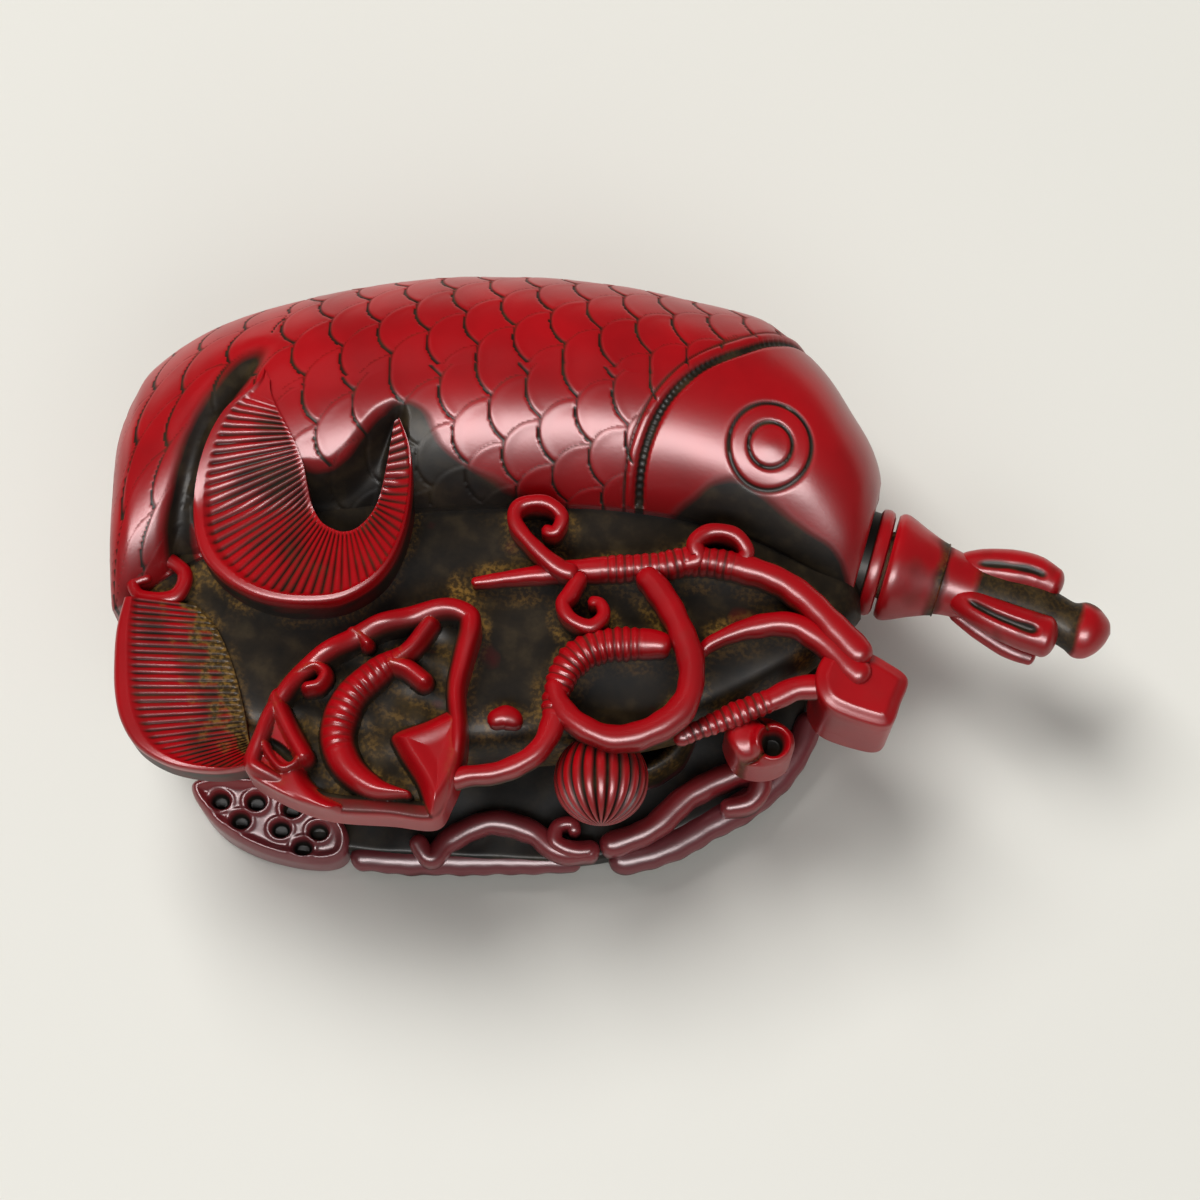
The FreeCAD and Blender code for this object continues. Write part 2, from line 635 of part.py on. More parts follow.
def finial_shape():
    """A lotus bud on a short neck, with a petal folded against it on either side."""
    start = size("seat_gap") + size("collar_length")
    end = start + size("finial_length")
    root = size("finial_root_radius")
    bud = size("bud_radius")
    stations = ((0.0, 0.0, root), (0.12, 0.0, root * 0.96), (0.4, 0.2, bud), (0.7, -0.3, bud * 1.06),
                (0.87, -0.9, bud * 0.82), (0.96, -1.0, bud * 0.45), (1.0, -0.9, bud * 0.16))
    rings = [ring(V(start + (end - start) * share, drop, 0), X_AXIS, radius, radius)
             for share, drop, radius in stations]
    shape = Part.makeLoft(rings, True, True)
    length = size("petal_length")
    for side in (1, -1):
        spread = side * size("petal_spread")
        route = [V(start + 0.8 + length * share, spread * out, 0)
                 for share, out in ((0.0, 0.45), (0.3, 0.62), (0.65, 0.9), (1.0, 1.0))]
        radii = [size("petal_radius") * r for r in (0.55, 0.8, 1.0, 1.0)]
        rings = [ring(p, w, r, r * 1.2) for p, w, r in zip(route, directions(route), radii)]
        petal = Part.makeLoft(rings, True, True)
        tip = Part.makeSphere(radii[-1], route[-1])
        shape = shape.fuse(petal).fuse(tip)
    return shape.removeSplitter()


finial = doc.addObject("Part::Feature", "finial")
finial.Shape = finial_shape()
finial.Label = "stopper_finial"

# The spoon: a thin rod with a shallow bowl, held in the cork

rod = doc.addObject("Part::Cylinder", "spoon_rod")
rod.setExpression("Radius", "sizes.spoon_rod_radius")
rod.setExpression("Height", "sizes.spoon_reach - sizes.spoon_bowl_length - sizes.cork_length"
                  " + sizes.seat_gap + sizes.spoon_socket + 1")
rod.Placement.Rotation = FreeCAD.Rotation(V(0, 1, 0), 90)
rod.setExpression("Placement.Base.x", "-sizes.spoon_reach + sizes.spoon_bowl_length - 1")


def bowl_oval(name, less):
    """One oval of the spoon's bowl, smaller than the outer one by a wall."""
    oval = doc.addObject("Part::Ellipsoid", name)
    oval.Angle1 = -90
    oval.Angle2 = 90
    oval.Angle3 = 360
    oval.setExpression("Radius1", f"sizes.spoon_bowl_height / 2 - {less}")
    oval.setExpression("Radius2", f"sizes.spoon_bowl_length / 2 - {less}")
    oval.setExpression("Radius3", f"sizes.spoon_bowl_width / 2 - {less}")
    oval.setExpression("Placement.Base.x", "-sizes.spoon_reach + sizes.spoon_bowl_length / 2")
    return oval


bowl = bowl_oval("bowl", "0")
scoop = bowl_oval("scoop", "sizes.spoon_wall")
scoop.setExpression("Placement.Base.z", "sizes.spoon_bowl_height / 2")
spooned = doc.addObject("Part::Fuse", "spooned")
spooned.Base = rod
spooned.Tool = bowl
spoon = doc.addObject("Part::Cut", "spoon_whole")
spoon.Base = spooned
spoon.Tool = scoop
spoon.Label = "spoon"

doc.recompute()

# Set down with the middle of the footprint at the origin, checked and written

PIECES = (bottle, collar, cork, finial, spoon)
bounds = FreeCAD.BoundBox()
for piece in PIECES:
    bounds.add(piece.Shape.optimalBoundingBox(False, False))
centre_down = V(-bounds.Center.x, -bounds.Center.y, -bounds.ZMin)

for item in doc.Objects:
    if "Invalid" in item.State or "Error" in item.State:
        raise RuntimeError(f"{item.Label} did not build: {item.State}")

os.makedirs("parts", exist_ok=True)
for piece in PIECES:
    piece.Placement.Base = piece.Placement.Base + centre_down
    shape = piece.Shape
    if shape.isNull() or not shape.isValid():
        raise RuntimeError(f"{piece.Label} is not a valid solid")
    print(piece.Label, len(shape.Solids), "solid", round(shape.Volume, 2), "mm3")
    shape.exportStep(f"parts/{piece.Label}.step")
print("mouth at", centre_down)
print("whole", bounds.XLength, bounds.YLength, bounds.ZLength)
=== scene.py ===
# %% [markdown]
# A carved snuff bottle: a carp that lies over lotus plants, with a stopper in its mouth. The
# bottle is one block of red resin, so its pieces here are the carver's forms, each cut to its own
# depth: the fish, the ground, the fans, the leaf and the stems. The stopper's cork and spoon stay
# as they are in the frame.

import math

import bpy
import numpy as np
from mathutils import Matrix, Vector


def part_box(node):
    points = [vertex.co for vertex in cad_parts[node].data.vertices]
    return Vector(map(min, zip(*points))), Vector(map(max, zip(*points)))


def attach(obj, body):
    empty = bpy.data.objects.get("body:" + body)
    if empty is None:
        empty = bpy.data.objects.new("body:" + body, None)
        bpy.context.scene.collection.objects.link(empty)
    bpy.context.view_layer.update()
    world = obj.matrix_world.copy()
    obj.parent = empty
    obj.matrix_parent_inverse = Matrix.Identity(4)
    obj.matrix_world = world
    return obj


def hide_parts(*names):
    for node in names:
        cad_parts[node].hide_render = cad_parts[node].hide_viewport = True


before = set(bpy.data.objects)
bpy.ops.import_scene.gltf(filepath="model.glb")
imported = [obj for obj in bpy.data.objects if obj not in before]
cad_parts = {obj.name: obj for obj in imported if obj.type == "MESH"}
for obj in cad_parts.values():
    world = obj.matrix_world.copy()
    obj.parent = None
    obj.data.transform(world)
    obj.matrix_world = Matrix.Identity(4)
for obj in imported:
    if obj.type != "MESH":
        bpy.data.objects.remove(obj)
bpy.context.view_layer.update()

# %% [markdown]
# The carving is drawn on a plan in millimetres, as a carver would draw it on the block: x along the
# fish, y across it and z up from the back face. The neck leans 16 degrees against that plan, so one
# matrix turns the plan about the mouth and brings it to metres.

# %% The plan and the neck
MM = 0.001
LEAN = math.radians(16)
SEAT_GAP = 0.3 * MM
MID = 14.0
PLAN_MOUTH = Vector((24.8, -0.2, MID))
GROUND_TOP = 20.0
WORN = 0.4

collar_low, collar_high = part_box("stopper_collar")
MOUTH = (collar_low + collar_high) / 2
MOUTH.x = collar_low.x - SEAT_GAP
NECK = Matrix.Translation(MOUTH) @ Matrix.Scale(MM, 4)
PLAN = NECK @ Matrix.Rotation(LEAN, 4, "Z") @ Matrix.Translation(-PLAN_MOUTH)
print("mouth", MOUTH)

# %% [markdown]
# A few helpers do what a carver's eye does: draw a smooth line through points, tell how far a spot
# is from a line, and blend gently between two levels.

# %% Lines and distances


def smooth(low, high, x):
    t = np.clip((np.asarray(x, float) - low) / (high - low), 0, 1)
    return t * t * (3 - 2 * t)


def through(points, count, closed=False):
    """A smooth line through points, cut into evenly spaced spots."""
    pts = np.array(points, float)
    if closed:
        pts = np.vstack([pts[-1:], pts, pts[:2]])
    else:
        pts = np.vstack([2 * pts[0] - pts[1], pts, 2 * pts[-1] - pts[-2]])
    fine = []
    for i in range(1, len(pts) - 2):
        a, b, c, d = pts[i - 1], pts[i], pts[i + 1], pts[i + 2]
        t = np.linspace(0, 1, 24, endpoint=False)[:, None]
        fine.append(0.5 * (2 * b + (c - a) * t + (2 * a - 5 * b + 4 * c - d) * t**2
                           + (3 * b - a - 3 * c + d) * t**3))
    fine = np.vstack(fine + [pts[-2][None]])
    steps = np.linalg.norm(np.diff(fine, axis=0), axis=1)
    place = np.concatenate([[0], np.cumsum(steps)])
    even = np.linspace(0, place[-1], count)
    return np.stack([np.interp(even, place, fine[:, k]) for k in range(fine.shape[1])], 1)


def from_line(spots, line):
    """Each spot's distance from a line, its place along it from 0 to 1, and its side."""
    a, b = line[:-1, :2], line[1:, :2]
    run = b - a
    square = np.maximum((run**2).sum(1), 1e-12)
    lengths = np.sqrt(square)
    starts = np.concatenate([[0], np.cumsum(lengths)])[:-1]
    total = lengths.sum()
    away = np.empty(len(spots))
    along = np.empty(len(spots))
    side = np.empty(len(spots))
    for first in range(0, len(spots), 20000):
        p = spots[first:first + 20000, None, :2] - a[None]
        t = np.clip((p * run).sum(2) / square, 0, 1)
        off = p - t[..., None] * run
        square_away = (off**2).sum(2)
        best = square_away.argmin(1)
        rows = np.arange(len(best))
        away[first:first + 20000] = np.sqrt(square_away[rows, best])
        along[first:first + 20000] = (starts[best] + t[rows, best] * lengths[best]) / total
        cross = run[best, 0] * p[rows, best, 1] - run[best, 1] * p[rows, best, 0]
        side[first:first + 20000] = np.sign(cross)
    return away, along, side


def depth_inside(spots, outline):
    """How far each spot lies inside a closed outline; outside it, less than nothing."""
    ring = through(outline, 40 * 6, closed=True)
    away, _, _ = from_line(spots, np.vstack([ring, ring[:1]]))
    x, y = spots[:, 0], spots[:, 1]
    inside = np.zeros(len(spots), bool)
    for (xa, ya), (xb, yb) in zip(ring[:, :2], np.roll(ring[:, :2], -1, 0)):
        crosses = (ya > y) != (yb > y)
        if crosses.any():
            inside ^= crosses & (x < (xb - xa) * (y - ya) / (yb - ya + 1e-12) + xa)
    return np.where(inside, away, -away)


def ripple(spots, size, seed):
    """A soft unevenness of about one, whose swells are about a given size."""
    draw = np.random.default_rng(seed)
    total = np.zeros(len(spots))
    for _ in range(6):
        way = draw.normal(size=spots.shape[1])
        way /= np.linalg.norm(way)
        pitch = size * draw.uniform(0.7, 1.6)
        total += np.sin(spots @ way * 2 * math.pi / pitch + draw.uniform(0, 6.28))
    return total / 2.6


# %% [markdown]
# Each form starts as a grid, whose rows then follow the form: along a stem and round it, or across
# a leaf. Its open edges are welded or filled, so that it is a closed solid, and it takes an
# attribute that says how dark each spot is: mostly the dark stain the carver left there when the
# rest was polished, and in places painted shade.

# %% Grids into solids


def grid(name, along, around):
    """A grid piece, with each spot's share of the way along it and across it."""
    bpy.ops.object.select_all(action="DESELECT")
    bpy.ops.mesh.primitive_grid_add(x_subdivisions=along, y_subdivisions=around, size=1)
    piece = bpy.context.object
    piece.name = name
    spots = np.empty(len(piece.data.vertices) * 3)
    piece.data.vertices.foreach_get("co", spots)
    spots = spots.reshape(-1, 3) + 0.5
    return piece, spots[:, 0], spots[:, 1]


def place(piece, spots, stain, dust=None):
    """Sets a grid's spots, with how dark each is, from stain and painted shade, and how much dust lies on it."""
    piece.data.vertices.foreach_set("co", spots.astype(np.float32).ravel())
    dust = np.zeros(len(spots)) if dust is None else dust
    for name, values in (("stain", stain), ("dust", dust)):
        mark = piece.data.attributes.new(name, "FLOAT", "POINT")
        mark.data.foreach_set("value", np.clip(values, 0, 1).astype(np.float32))
    piece.data.update()


def close(piece, weld=0.002, fill=False):
    """Welds a form's seams and poles, fills its open edge and turns its faces outwards."""
    bpy.ops.object.select_all(action="DESELECT")
    piece.select_set(True)
    bpy.context.view_layer.objects.active = piece
    bpy.ops.object.mode_set(mode="EDIT")
    bpy.ops.mesh.select_all(action="SELECT")
    bpy.ops.mesh.remove_doubles(threshold=weld)
    if fill:
        bpy.ops.mesh.select_all(action="DESELECT")
        bpy.ops.mesh.select_mode(type="EDGE")
        bpy.ops.mesh.select_non_manifold(extend=False, use_wire=False, use_boundary=True,
                                         use_multi_face=False, use_non_contiguous=False,
                                         use_verts=False)
        bpy.ops.mesh.edge_face_add()
        bpy.ops.mesh.select_all(action="SELECT")
    bpy.ops.mesh.normals_make_consistent(inside=False)
    bpy.ops.object.mode_set(mode="OBJECT")


def settle(piece, material, matrix, body, angle=50):
    """Brings a finished form to the frame, and gives it its finish and the body it moves with."""
    piece.data.transform(matrix)
    piece.data.materials.clear()
    piece.data.materials.append(material)
    bpy.ops.object.select_all(action="DESELECT")
    piece.select_set(True)
    bpy.context.view_layer.objects.active = piece
    bpy.ops.object.shade_smooth_by_angle(angle=math.radians(angle))
    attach(piece, body)
    print(piece.name, len(piece.data.polygons), "faces")
    return piece


# %% [markdown]
# The finish is cast resin, carved, stained dark all over and then rubbed back to red. The stain
# stays dull in every cut and on the ground, and a little ochre dust sits in the corners; the same
# dark is painted as shade in places too. Where the bottle lies on its back, it is worn to a dusty
# rose, and that rose also stands for a painted sheen on these low forms seen from the side.

# %% Colours and nodes


def colour(hex_code):
    """An sRGB hex value as a linear colour."""
    parts = [int(hex_code[i:i + 2], 16) / 255 for i in (1, 3, 5)]
    linear = [c / 12.92 if c <= 0.04045 else ((c + 0.055) / 1.055) ** 2.4 for c in parts]
    return (*linear, 1.0)


def add(tree, kind, links=(), **values):
    """Adds a node, sets its inputs and settings, and links its inputs to other nodes' outputs."""
    made = tree.nodes.new(kind)
    for key, value in values.items():
        if key.startswith("in_"):
            made.inputs[int(key[3:]) if key[3:].isdigit() else key[3:].replace("_", " ")].default_value = value
        else:
            setattr(made, key, value)
    for socket, source in dict(links).items():
        tree.links.new(source, made.inputs[socket])
    return made


def ramp(tree, source, stops):
    made = add(tree, "ShaderNodeValToRGB", {"Fac": source})
    elements = made.color_ramp.elements
    while len(elements) < len(stops):
        elements.new(0.5)
    for element, (position, tint) in zip(elements, stops):
        element.position = position
        element.color = tint
    return made.outputs["Color"]


def grey(value):
    return (value, value, value, 1.0)


def blend_colours(tree, factor, first, second):
    made = add(tree, "ShaderNodeMix", data_type="RGBA")
    tree.links.new(factor, made.inputs[0])
    for index, tint in ((6, first), (7, second)):
        if isinstance(tint, tuple):
            made.inputs[index].default_value = tint
        else:
            tree.links.new(tint, made.inputs[index])
    return made.outputs[2]


def new_material(name):
    material = bpy.data.materials.new(name)
    material.use_nodes = True
    tree = material.node_tree
    return material, tree, tree.nodes["Principled BSDF"]


# %% Carved and stained resin


def carved_resin():
    """Cast resin, polished on the high spots and dull where the stain stays.

    Noise scales are in cells to the metre: patches of 2.4 mm, clouds of 7 mm and a grain of 0.4 mm.
    """
    material, tree, shader = new_material("carved_stained_resin")
    coords = add(tree, "ShaderNodeTexCoord").outputs["Object"]
    stain = add(tree, "ShaderNodeAttribute", attribute_name="stain").outputs["Fac"]
    dust = add(tree, "ShaderNodeAttribute", attribute_name="dust").outputs["Fac"]
    patches = add(tree, "ShaderNodeTexNoise", {"Vector": coords}, in_Scale=420.0, in_Detail=5.0)
    cloud = add(tree, "ShaderNodeTexNoise", {"Vector": coords}, in_Scale=140.0, in_Detail=3.0)
    grain = add(tree, "ShaderNodeTexNoise", {"Vector": coords}, in_Scale=2600.0, in_Detail=4.0)
    height = add(tree, "ShaderNodeSeparateXYZ", {"Vector": coords}).outputs["Z"]
    uneven = add(tree, "ShaderNodeMath", {0: patches.outputs["Fac"]}, operation="MULTIPLY_ADD",
                 in_1=0.3, in_2=-0.15)
    mark = add(tree, "ShaderNodeMath", {0: stain, 1: uneven.outputs[0]}, operation="ADD")
    reds = ramp(tree, cloud.outputs["Fac"], ((0.35, colour("#8E020A")), (0.65, colour("#A0030D"))))
    # Low forms turn a dusty rose: partly wear, partly a painted sheen of these side-facing forms.
    wear_and_sheen = add(tree, "ShaderNodeMapRange", {"Value": height}, in_1=0.0095, in_2=0.0045)
    wear_and_sheen_red = blend_colours(tree, wear_and_sheen.outputs[0], reds, colour("#7C343A"))
    darks = ramp(tree, patches.outputs["Fac"], (
        (0.3, colour("#130F0A")), (0.5, colour("#201910")), (0.72, colour("#362C1C"))))
    through_red = ramp(tree, mark.outputs[0], (
        (0.14, grey(0.0)), (0.42, grey(0.6)), (0.66, grey(1.0))))
    body = blend_colours(tree, through_red, wear_and_sheen_red, darks)
    specks = ramp(tree, grain.outputs["Fac"], ((0.44, grey(0.15)), (0.62, grey(0.85))))
    dusty = add(tree, "ShaderNodeMath", {0: specks, 1: dust}, operation="MULTIPLY")
    finish = blend_colours(tree, dusty.outputs[0], body, colour("#7E5E2A"))
    tree.links.new(finish, shader.inputs["Base Color"])
    rough = ramp(tree, mark.outputs[0], ((0.12, grey(0.32)), (0.32, grey(0.5))))
    tree.links.new(rough, shader.inputs["Roughness"])
    shine = ramp(tree, mark.outputs[0], ((0.12, grey(0.4)), (0.4, grey(0.14))))
    tree.links.new(shine, shader.inputs["Specular IOR Level"])
    bump = add(tree, "ShaderNodeBump", {"Height": grain.outputs["Fac"]}, in_Strength=0.12,
               in_Distance=0.00005)
    tree.links.new(bump.outputs["Normal"], shader.inputs["Normal"])
    shader.inputs["IOR"].default_value = 1.5
    shader.inputs["Coat Weight"].default_value = 0.05
    shader.inputs["Coat Roughness"].default_value = 0.18
    return material


RESIN = carved_resin()

# %% [markdown]
# The fish is a flank lofted through stations along its length. Each station is an oval that is
# wide at the back and runs down to the ground, and the front and back halves meet along the ridge
# of the back.

# %% The fish's stations
FISH_STATIONS = (
    # place, back, middle of the flank, half width, half height
    (-45.4, 10.5, 1.5, 8.2, 6.6),
    (-44.9, 13.2, 2.6, 9.5, 8.8),
    (-43.8, 16.0, 4.2, 11.0, 10.5),
    (-42.0, 18.6, 6.0, 12.0, 11.6),
    (-36.5, 22.2, 9.6, 12.6, 12.9),
    (-28.0, 25.0, 12.2, 12.8, 13.6),
    (-17.0, 26.8, 14.0, 12.8, 14.0),
    (-5.0, 26.8, 14.2, 12.6, 14.0),
    (4.0, 25.4, 13.1, 12.2, 13.9),
    (10.4, 23.4, 11.4, 12.0, 13.5),
    (12.8, 21.4, 10.2, 11.6, 13.1),
    (15.5, 17.8, 8.4, 10.9, 12.3),
    (18.3, 13.6, 6.2, 9.7, 10.8),
    (20.6, 10.8, 4.2, 8.4, 9.2),
    (21.9, 8.9, 2.8, 7.2, 7.8),
    (22.6, 7.4, 1.8, 6.2, 6.6),
    (22.8, 6.2, 1.2, 5.4, 5.6),
)
FISH_TABLE = through(FISH_STATIONS, 600)
FISH_START, FISH_LENGTH = FISH_STATIONS[0][0], FISH_STATIONS[-1][0] - FISH_STATIONS[0][0]
HEAD_LEAN = math.tan(LEAN)
FLANK_END = math.radians(150)
ROUND_PART = 0.93


def fish_station(x):
    return [np.interp(x, FISH_TABLE[:, 0], FISH_TABLE[:, k]) for k in range(1, 5)]


def leaning(x, y):
    """Leans the head's stations towards the neck, which crosses the plan at an angle."""
    return x + HEAD_LEAN * smooth(6, 20, x) * y


def flank_top(plan):
    """How high the front flank stands over spots on the plan; outside it, the middle's height."""
    back, middle, half_width, half_height = fish_station(plan[:, 0])
    reach = np.where(plan[:, 1] > middle, back - middle, half_width)
    across = np.clip(np.abs(plan[:, 1] - middle) / reach, 0, 1)
    return MID + half_height * np.sqrt(1 - across**2)


def fish_half(u, v, side):
    """Spots on one flank: u runs from foot to mouth, v from the back's ridge down to the ground."""
    x = FISH_START + u * FISH_LENGTH
    back, middle, half_width, half_height = fish_station(x)
    angle = np.minimum(v / ROUND_PART, 1) * FLANK_END
    reach = np.where(angle < math.pi / 2, back - middle, half_width)
    y = middle + reach * np.cos(angle)
    rise = half_height * np.sin(angle)
    rise = np.where(v > ROUND_PART, rise * (1 - (v - ROUND_PART) / (1 - ROUND_PART)), rise)
    girth = np.where(angle < math.pi / 2, half_height, (half_height + half_width) / 2) * angle
    return np.stack([leaning(x, y), y, MID + side * rise], 1), girth


# %% [markdown]
# The scales are disks that overlap like tiles, the free edge towards the tail. A spot belongs to
# the topmost disk that holds it, and the cut follows that disk's rim. Two short steps carry the
# pattern from one scale to the next.

# %% Scales
SCALE_RADIUS = 3.54
SCALE_STEP = np.array([3.27, 2.19])
SCALE_DROP = np.array([4.42, -1.97])
ON_TOP = np.array([1.0, -0.2])


def scales(along, up, start):
    """The depth inside the topmost scale's rim, and how far round that rim the spot lies."""
    spots = np.stack([along, up], 1) - np.array(start)
    basis = np.linalg.inv(np.stack([SCALE_STEP, SCALE_DROP], 1))
    cell = np.floor(spots @ basis.T)
    best_rank = np.full(len(spots), -1e9)
    depth = np.zeros(len(spots))
    bearing = np.zeros(len(spots))
    for i in range(-2, 4):
        for j in range(-2, 4):
            centre = (cell + (i, j)) @ np.stack([SCALE_STEP, SCALE_DROP])
            off = spots - centre
            away = np.linalg.norm(off, axis=1)
            rank = centre @ ON_TOP
            better = (away < SCALE_RADIUS) & (rank > best_rank)
            best_rank = np.where(better, rank, best_rank)
            depth = np.where(better, SCALE_RADIUS - away, depth)
            bearing = np.where(better, np.arctan2(off[:, 1], off[:, 0]), bearing)
    return depth, bearing


# %% The fish's lines
GILL = through(((20.6, 18.0), (17.0, 18.6), (14.5, 17.8), (11.7, 16.3), (7.6, 13.9), (4.5, 10.6),
                (2.7, 6.8), (2.2, 3.1), (2.9, -0.2), (3.6, -3.0)), 160)
EYE = np.array([13.8, 7.1])
EYE_RINGS = ((3.7, 0.22), (1.95, 0.2))
GILL_TEETH = 62
UNDERSIDE = 14
STRIP_EDGE = through(((-31.5, 17.0), (-33.5, 13.4), (-36.1, 9.1), (-37.3, 5.3), (-38.4, -0.3),
                      (-37.8, -3.6), (-36.5, -7.0)), 80)
FLANK_EDGE = through(((-46.0, -6.0), (-40.0, -6.5), (-36.0, -2.0), (-31.0, 2.0), (-28.6, 4.4), (-26.3, 5.0),
                      (-24.0, 5.7), (-21.5, 8.3), (-19.4, 10.4), (-15.8, 7.6), (-12.1, 4.7), (-4.9, 2.3),
                      (2.3, 0.9), (3.6, 0.9), (6.8, 3.0), (11.3, 3.8), (15.8, 0.9),
                      (20.2, -2.8), (23.5, -6.6)), 200)
TAIL_HOLE = ((-28.8, 3.6), (-28.2, 1.4), (-26.4, -0.4), (-24.1, -0.8), (-22.0, 0.2), (-20.8, 2.4),
             (-19.8, 5.4), (-19.2, 9.6), (-20.4, 9.6), (-21.8, 8.2), (-23.4, 6.3), (-24.8, 5.3),
             (-26.4, 4.9), (-27.8, 4.9))


def engrave(spots, girth, side):
    """Cut depth, in millimetres along the normal, and stain with painted shade for one flank."""
    plan = spots[:, :2]
    x, y = plan[:, 0], plan[:, 1]
    gill_away, gill_along, gill_side = from_line(plan, GILL)
    strip_away, _, strip_side = from_line(plan, STRIP_EDGE)
    behind_gill = (gill_side < 0) | (x < 2.0)
    in_front = ~behind_gill
    on_strip = strip_side < 0
    warm = smooth(0.5, 1.1, gill_away) * behind_gill

    depth, bearing = scales(x, -girth, (-13.3, -19.4))
    strip_depth, strip_bearing = scales(0.85 * x - 0.5 * -girth, 0.5 * x + 0.85 * -girth, (0.0, 0.0))
    depth = np.where(on_strip, strip_depth, depth)
    bearing = np.where(on_strip, strip_bearing, bearing)
    # Each scale line is stained; its lower side is drawn darker as painted shade, the side of the groove away from
    # the light.
    lower = 0.4 + 0.6 * smooth(-0.6, 0.1, np.sin(-bearing))
    line = np.exp(-(depth / 0.24) ** 2) * lower
    cut = -(0.12 * line) * warm + 0.05 * smooth(1.2, 0.0, depth) * warm * (1 - line)
    stain = 0.9 * np.exp(-(depth / 0.28) ** 2) * lower * warm

    gill_cut = np.exp(-(gill_away / 0.42) ** 4)
    hatch = 0.5 + 0.5 * np.cos(gill_along * 2 * math.pi * GILL_TEETH)
    cut -= gill_cut * (0.34 + 0.1 * hatch)
    cut += 0.12 * np.exp(-((gill_away - 0.9) / 0.32) ** 2) * behind_gill
    border = np.exp(-((gill_away - 1.35) / 0.16) ** 2) * behind_gill
    cut -= 0.14 * border
    stain = np.maximum(stain, np.maximum(gill_cut * (0.75 + 0.2 * hatch), 0.65 * border))

    eye_away = np.linalg.norm(plan - EYE, axis=1)
    for radius, width in EYE_RINGS:
        ring = np.exp(-((eye_away - radius) / width) ** 2)
        cut -= 0.22 * ring * in_front
        stain = np.maximum(stain, 0.85 * ring * in_front)
    cut += 0.16 * smooth(1.9, 0.0, eye_away) * in_front

    strip_cut = np.exp(-((strip_away * -strip_side - 0.3) / 1.2) ** 2) * smooth(18, 14, y)
    cut = np.where(on_strip, 0.5 * cut, cut) - 1.1 * strip_cut
    stain = np.maximum(stain, 1.1 * strip_cut)

    # Dark along the flank's lower edge, where it turns under to the ground: partly stain, partly painted shade.
    edge_away, _, edge_side = from_line(plan, FLANK_EDGE)
    below = edge_away * -edge_side + 0.5 * ripple(plan, 5.0, 3)
    stain = np.maximum(stain, smooth(-1.6, 0.8, below) * (girth > UNDERSIDE) * ~(on_strip & (x < -38)))
    return cut, stain


def carp(name, side):
    piece, u, v = grid(name, 440, 222)
    spots, girth = fish_half(u, v, side)
    plan = spots[:, :2]
    cut, stain = engrave(spots, girth, side)
    cut = np.where(v < 0.92, cut, 0)
    ahead, _ = fish_half(np.clip(u + 1e-3, 0, 1), v, side)
    behind, _ = fish_half(np.clip(u - 1e-3, 0, 1), v, side)
    lower, _ = fish_half(u, np.clip(v + 1e-3, 0, 1), side)
    upper, _ = fish_half(u, np.clip(v - 1e-3, 0, 1), side)
    normal = np.cross(ahead - behind, upper - lower) * side
    normal /= np.maximum(np.linalg.norm(normal, axis=1), 1e-9)[:, None]
    spots = spots + normal * (cut + 0.05 * ripple(spots, 9.0, 11))[:, None]

    into_hole = depth_inside(plan, TAIL_HOLE)
    hole = smooth(-1.2, 1.6, into_hole) * (v > 0.3)
    rise = (spots[:, 2] - MID) * side
    rise -= hole * np.clip(rise - 5.4, 0, 3.0)
    stain = np.maximum(stain, smooth(-0.9, 0.3, into_hole) * (v > 0.3))
    end = (u < 1e-6) | (u > 1 - 1e-6)
    rise = np.where(end | (v > 1 - 1e-6) | (v < 1e-6), 0, rise)
    spots[:, 2] = MID + side * np.maximum(rise, 0)
    spots[:, 2] = np.maximum(spots[:, 2], WORN)
    place(piece, spots, stain)
    close(piece, weld=0.0005, fill=True)
    return piece


# %% [markdown]
# The ground is the block itself, cut back between the forms and left rough from the tool. It is a
# long rounded slab, whose edge on the belly side lies well behind the relief.

# %% The ground
GROUND_STATIONS = (
    # place, belly, half thickness
    (-44.2, -9.0, 3.5),
    (-42.0, -14.5, 5.6),
    (-36.5, -17.0, 6.0),
    (-28.0, -18.4, 6.0),
    (-17.0, -19.2, 6.0),
    (-5.0, -18.6, 6.0),
    (6.0, -16.6, 6.0),
    (14.0, -12.8, 5.7),
    (19.5, -8.6, 5.0),
    (22.6, -5.4, 3.8),
)


def ground():
    piece, u, v = grid("ground", 330, 260)
    table = through(GROUND_STATIONS, 400)
    x = -44.2 + u * 66.8
    belly = np.interp(x, table[:, 0], table[:, 1])
    half = np.interp(x, table[:, 0], table[:, 2])
    _, middle, _, _ = fish_station(x)
    ends = np.sqrt(np.clip(1 - np.abs(2 * u - 1) ** 40, 0, 1))
    angle = v * 2 * math.pi
    c, s = np.cos(angle), np.sin(angle)
    y = (middle + belly) / 2 - (middle - belly) / 2 * c
    z = MID + half * ends * np.sign(s) * np.clip(1 - np.abs(c) ** 10, 0, 1) ** (1 / 3)
    spots = np.stack([x, y, z], 1)
    level = np.sign(s) * smooth(0.0, 0.5, np.abs(s)) * ends
    spots[:, 2] += level * 0.12 * ripple(spots[:, :2], 8.0, 21)
    stain = 0.92 + 0.2 * ripple(spots, 7.0, 23)
    near = np.full(len(spots), 99.0)
    for line, half_width in CREASES:
        away, _, _ = from_line(spots, line)
        near = np.minimum(near, away - half_width)
    patchy = 0.6 + 0.4 * ripple(spots[:, :2], 3.0, 24)
    dust = smooth(1.1, 0.2, near) * patchy + 0.06 * smooth(0.4, 1.0, ripple(spots[:, :2], 6.0, 25))
    place(piece, spots, stain, dust)
    close(piece)
    return piece


# %% [markdown]
# A stem is a strand that follows a line on the plan. Its top is round, its sides go down to the
# ground, and some stems are cut across with fine ribs.

# %% Stems
STEM_STEP = 0.14
STEM_AROUND = 28
RIB_PITCH = 0.75


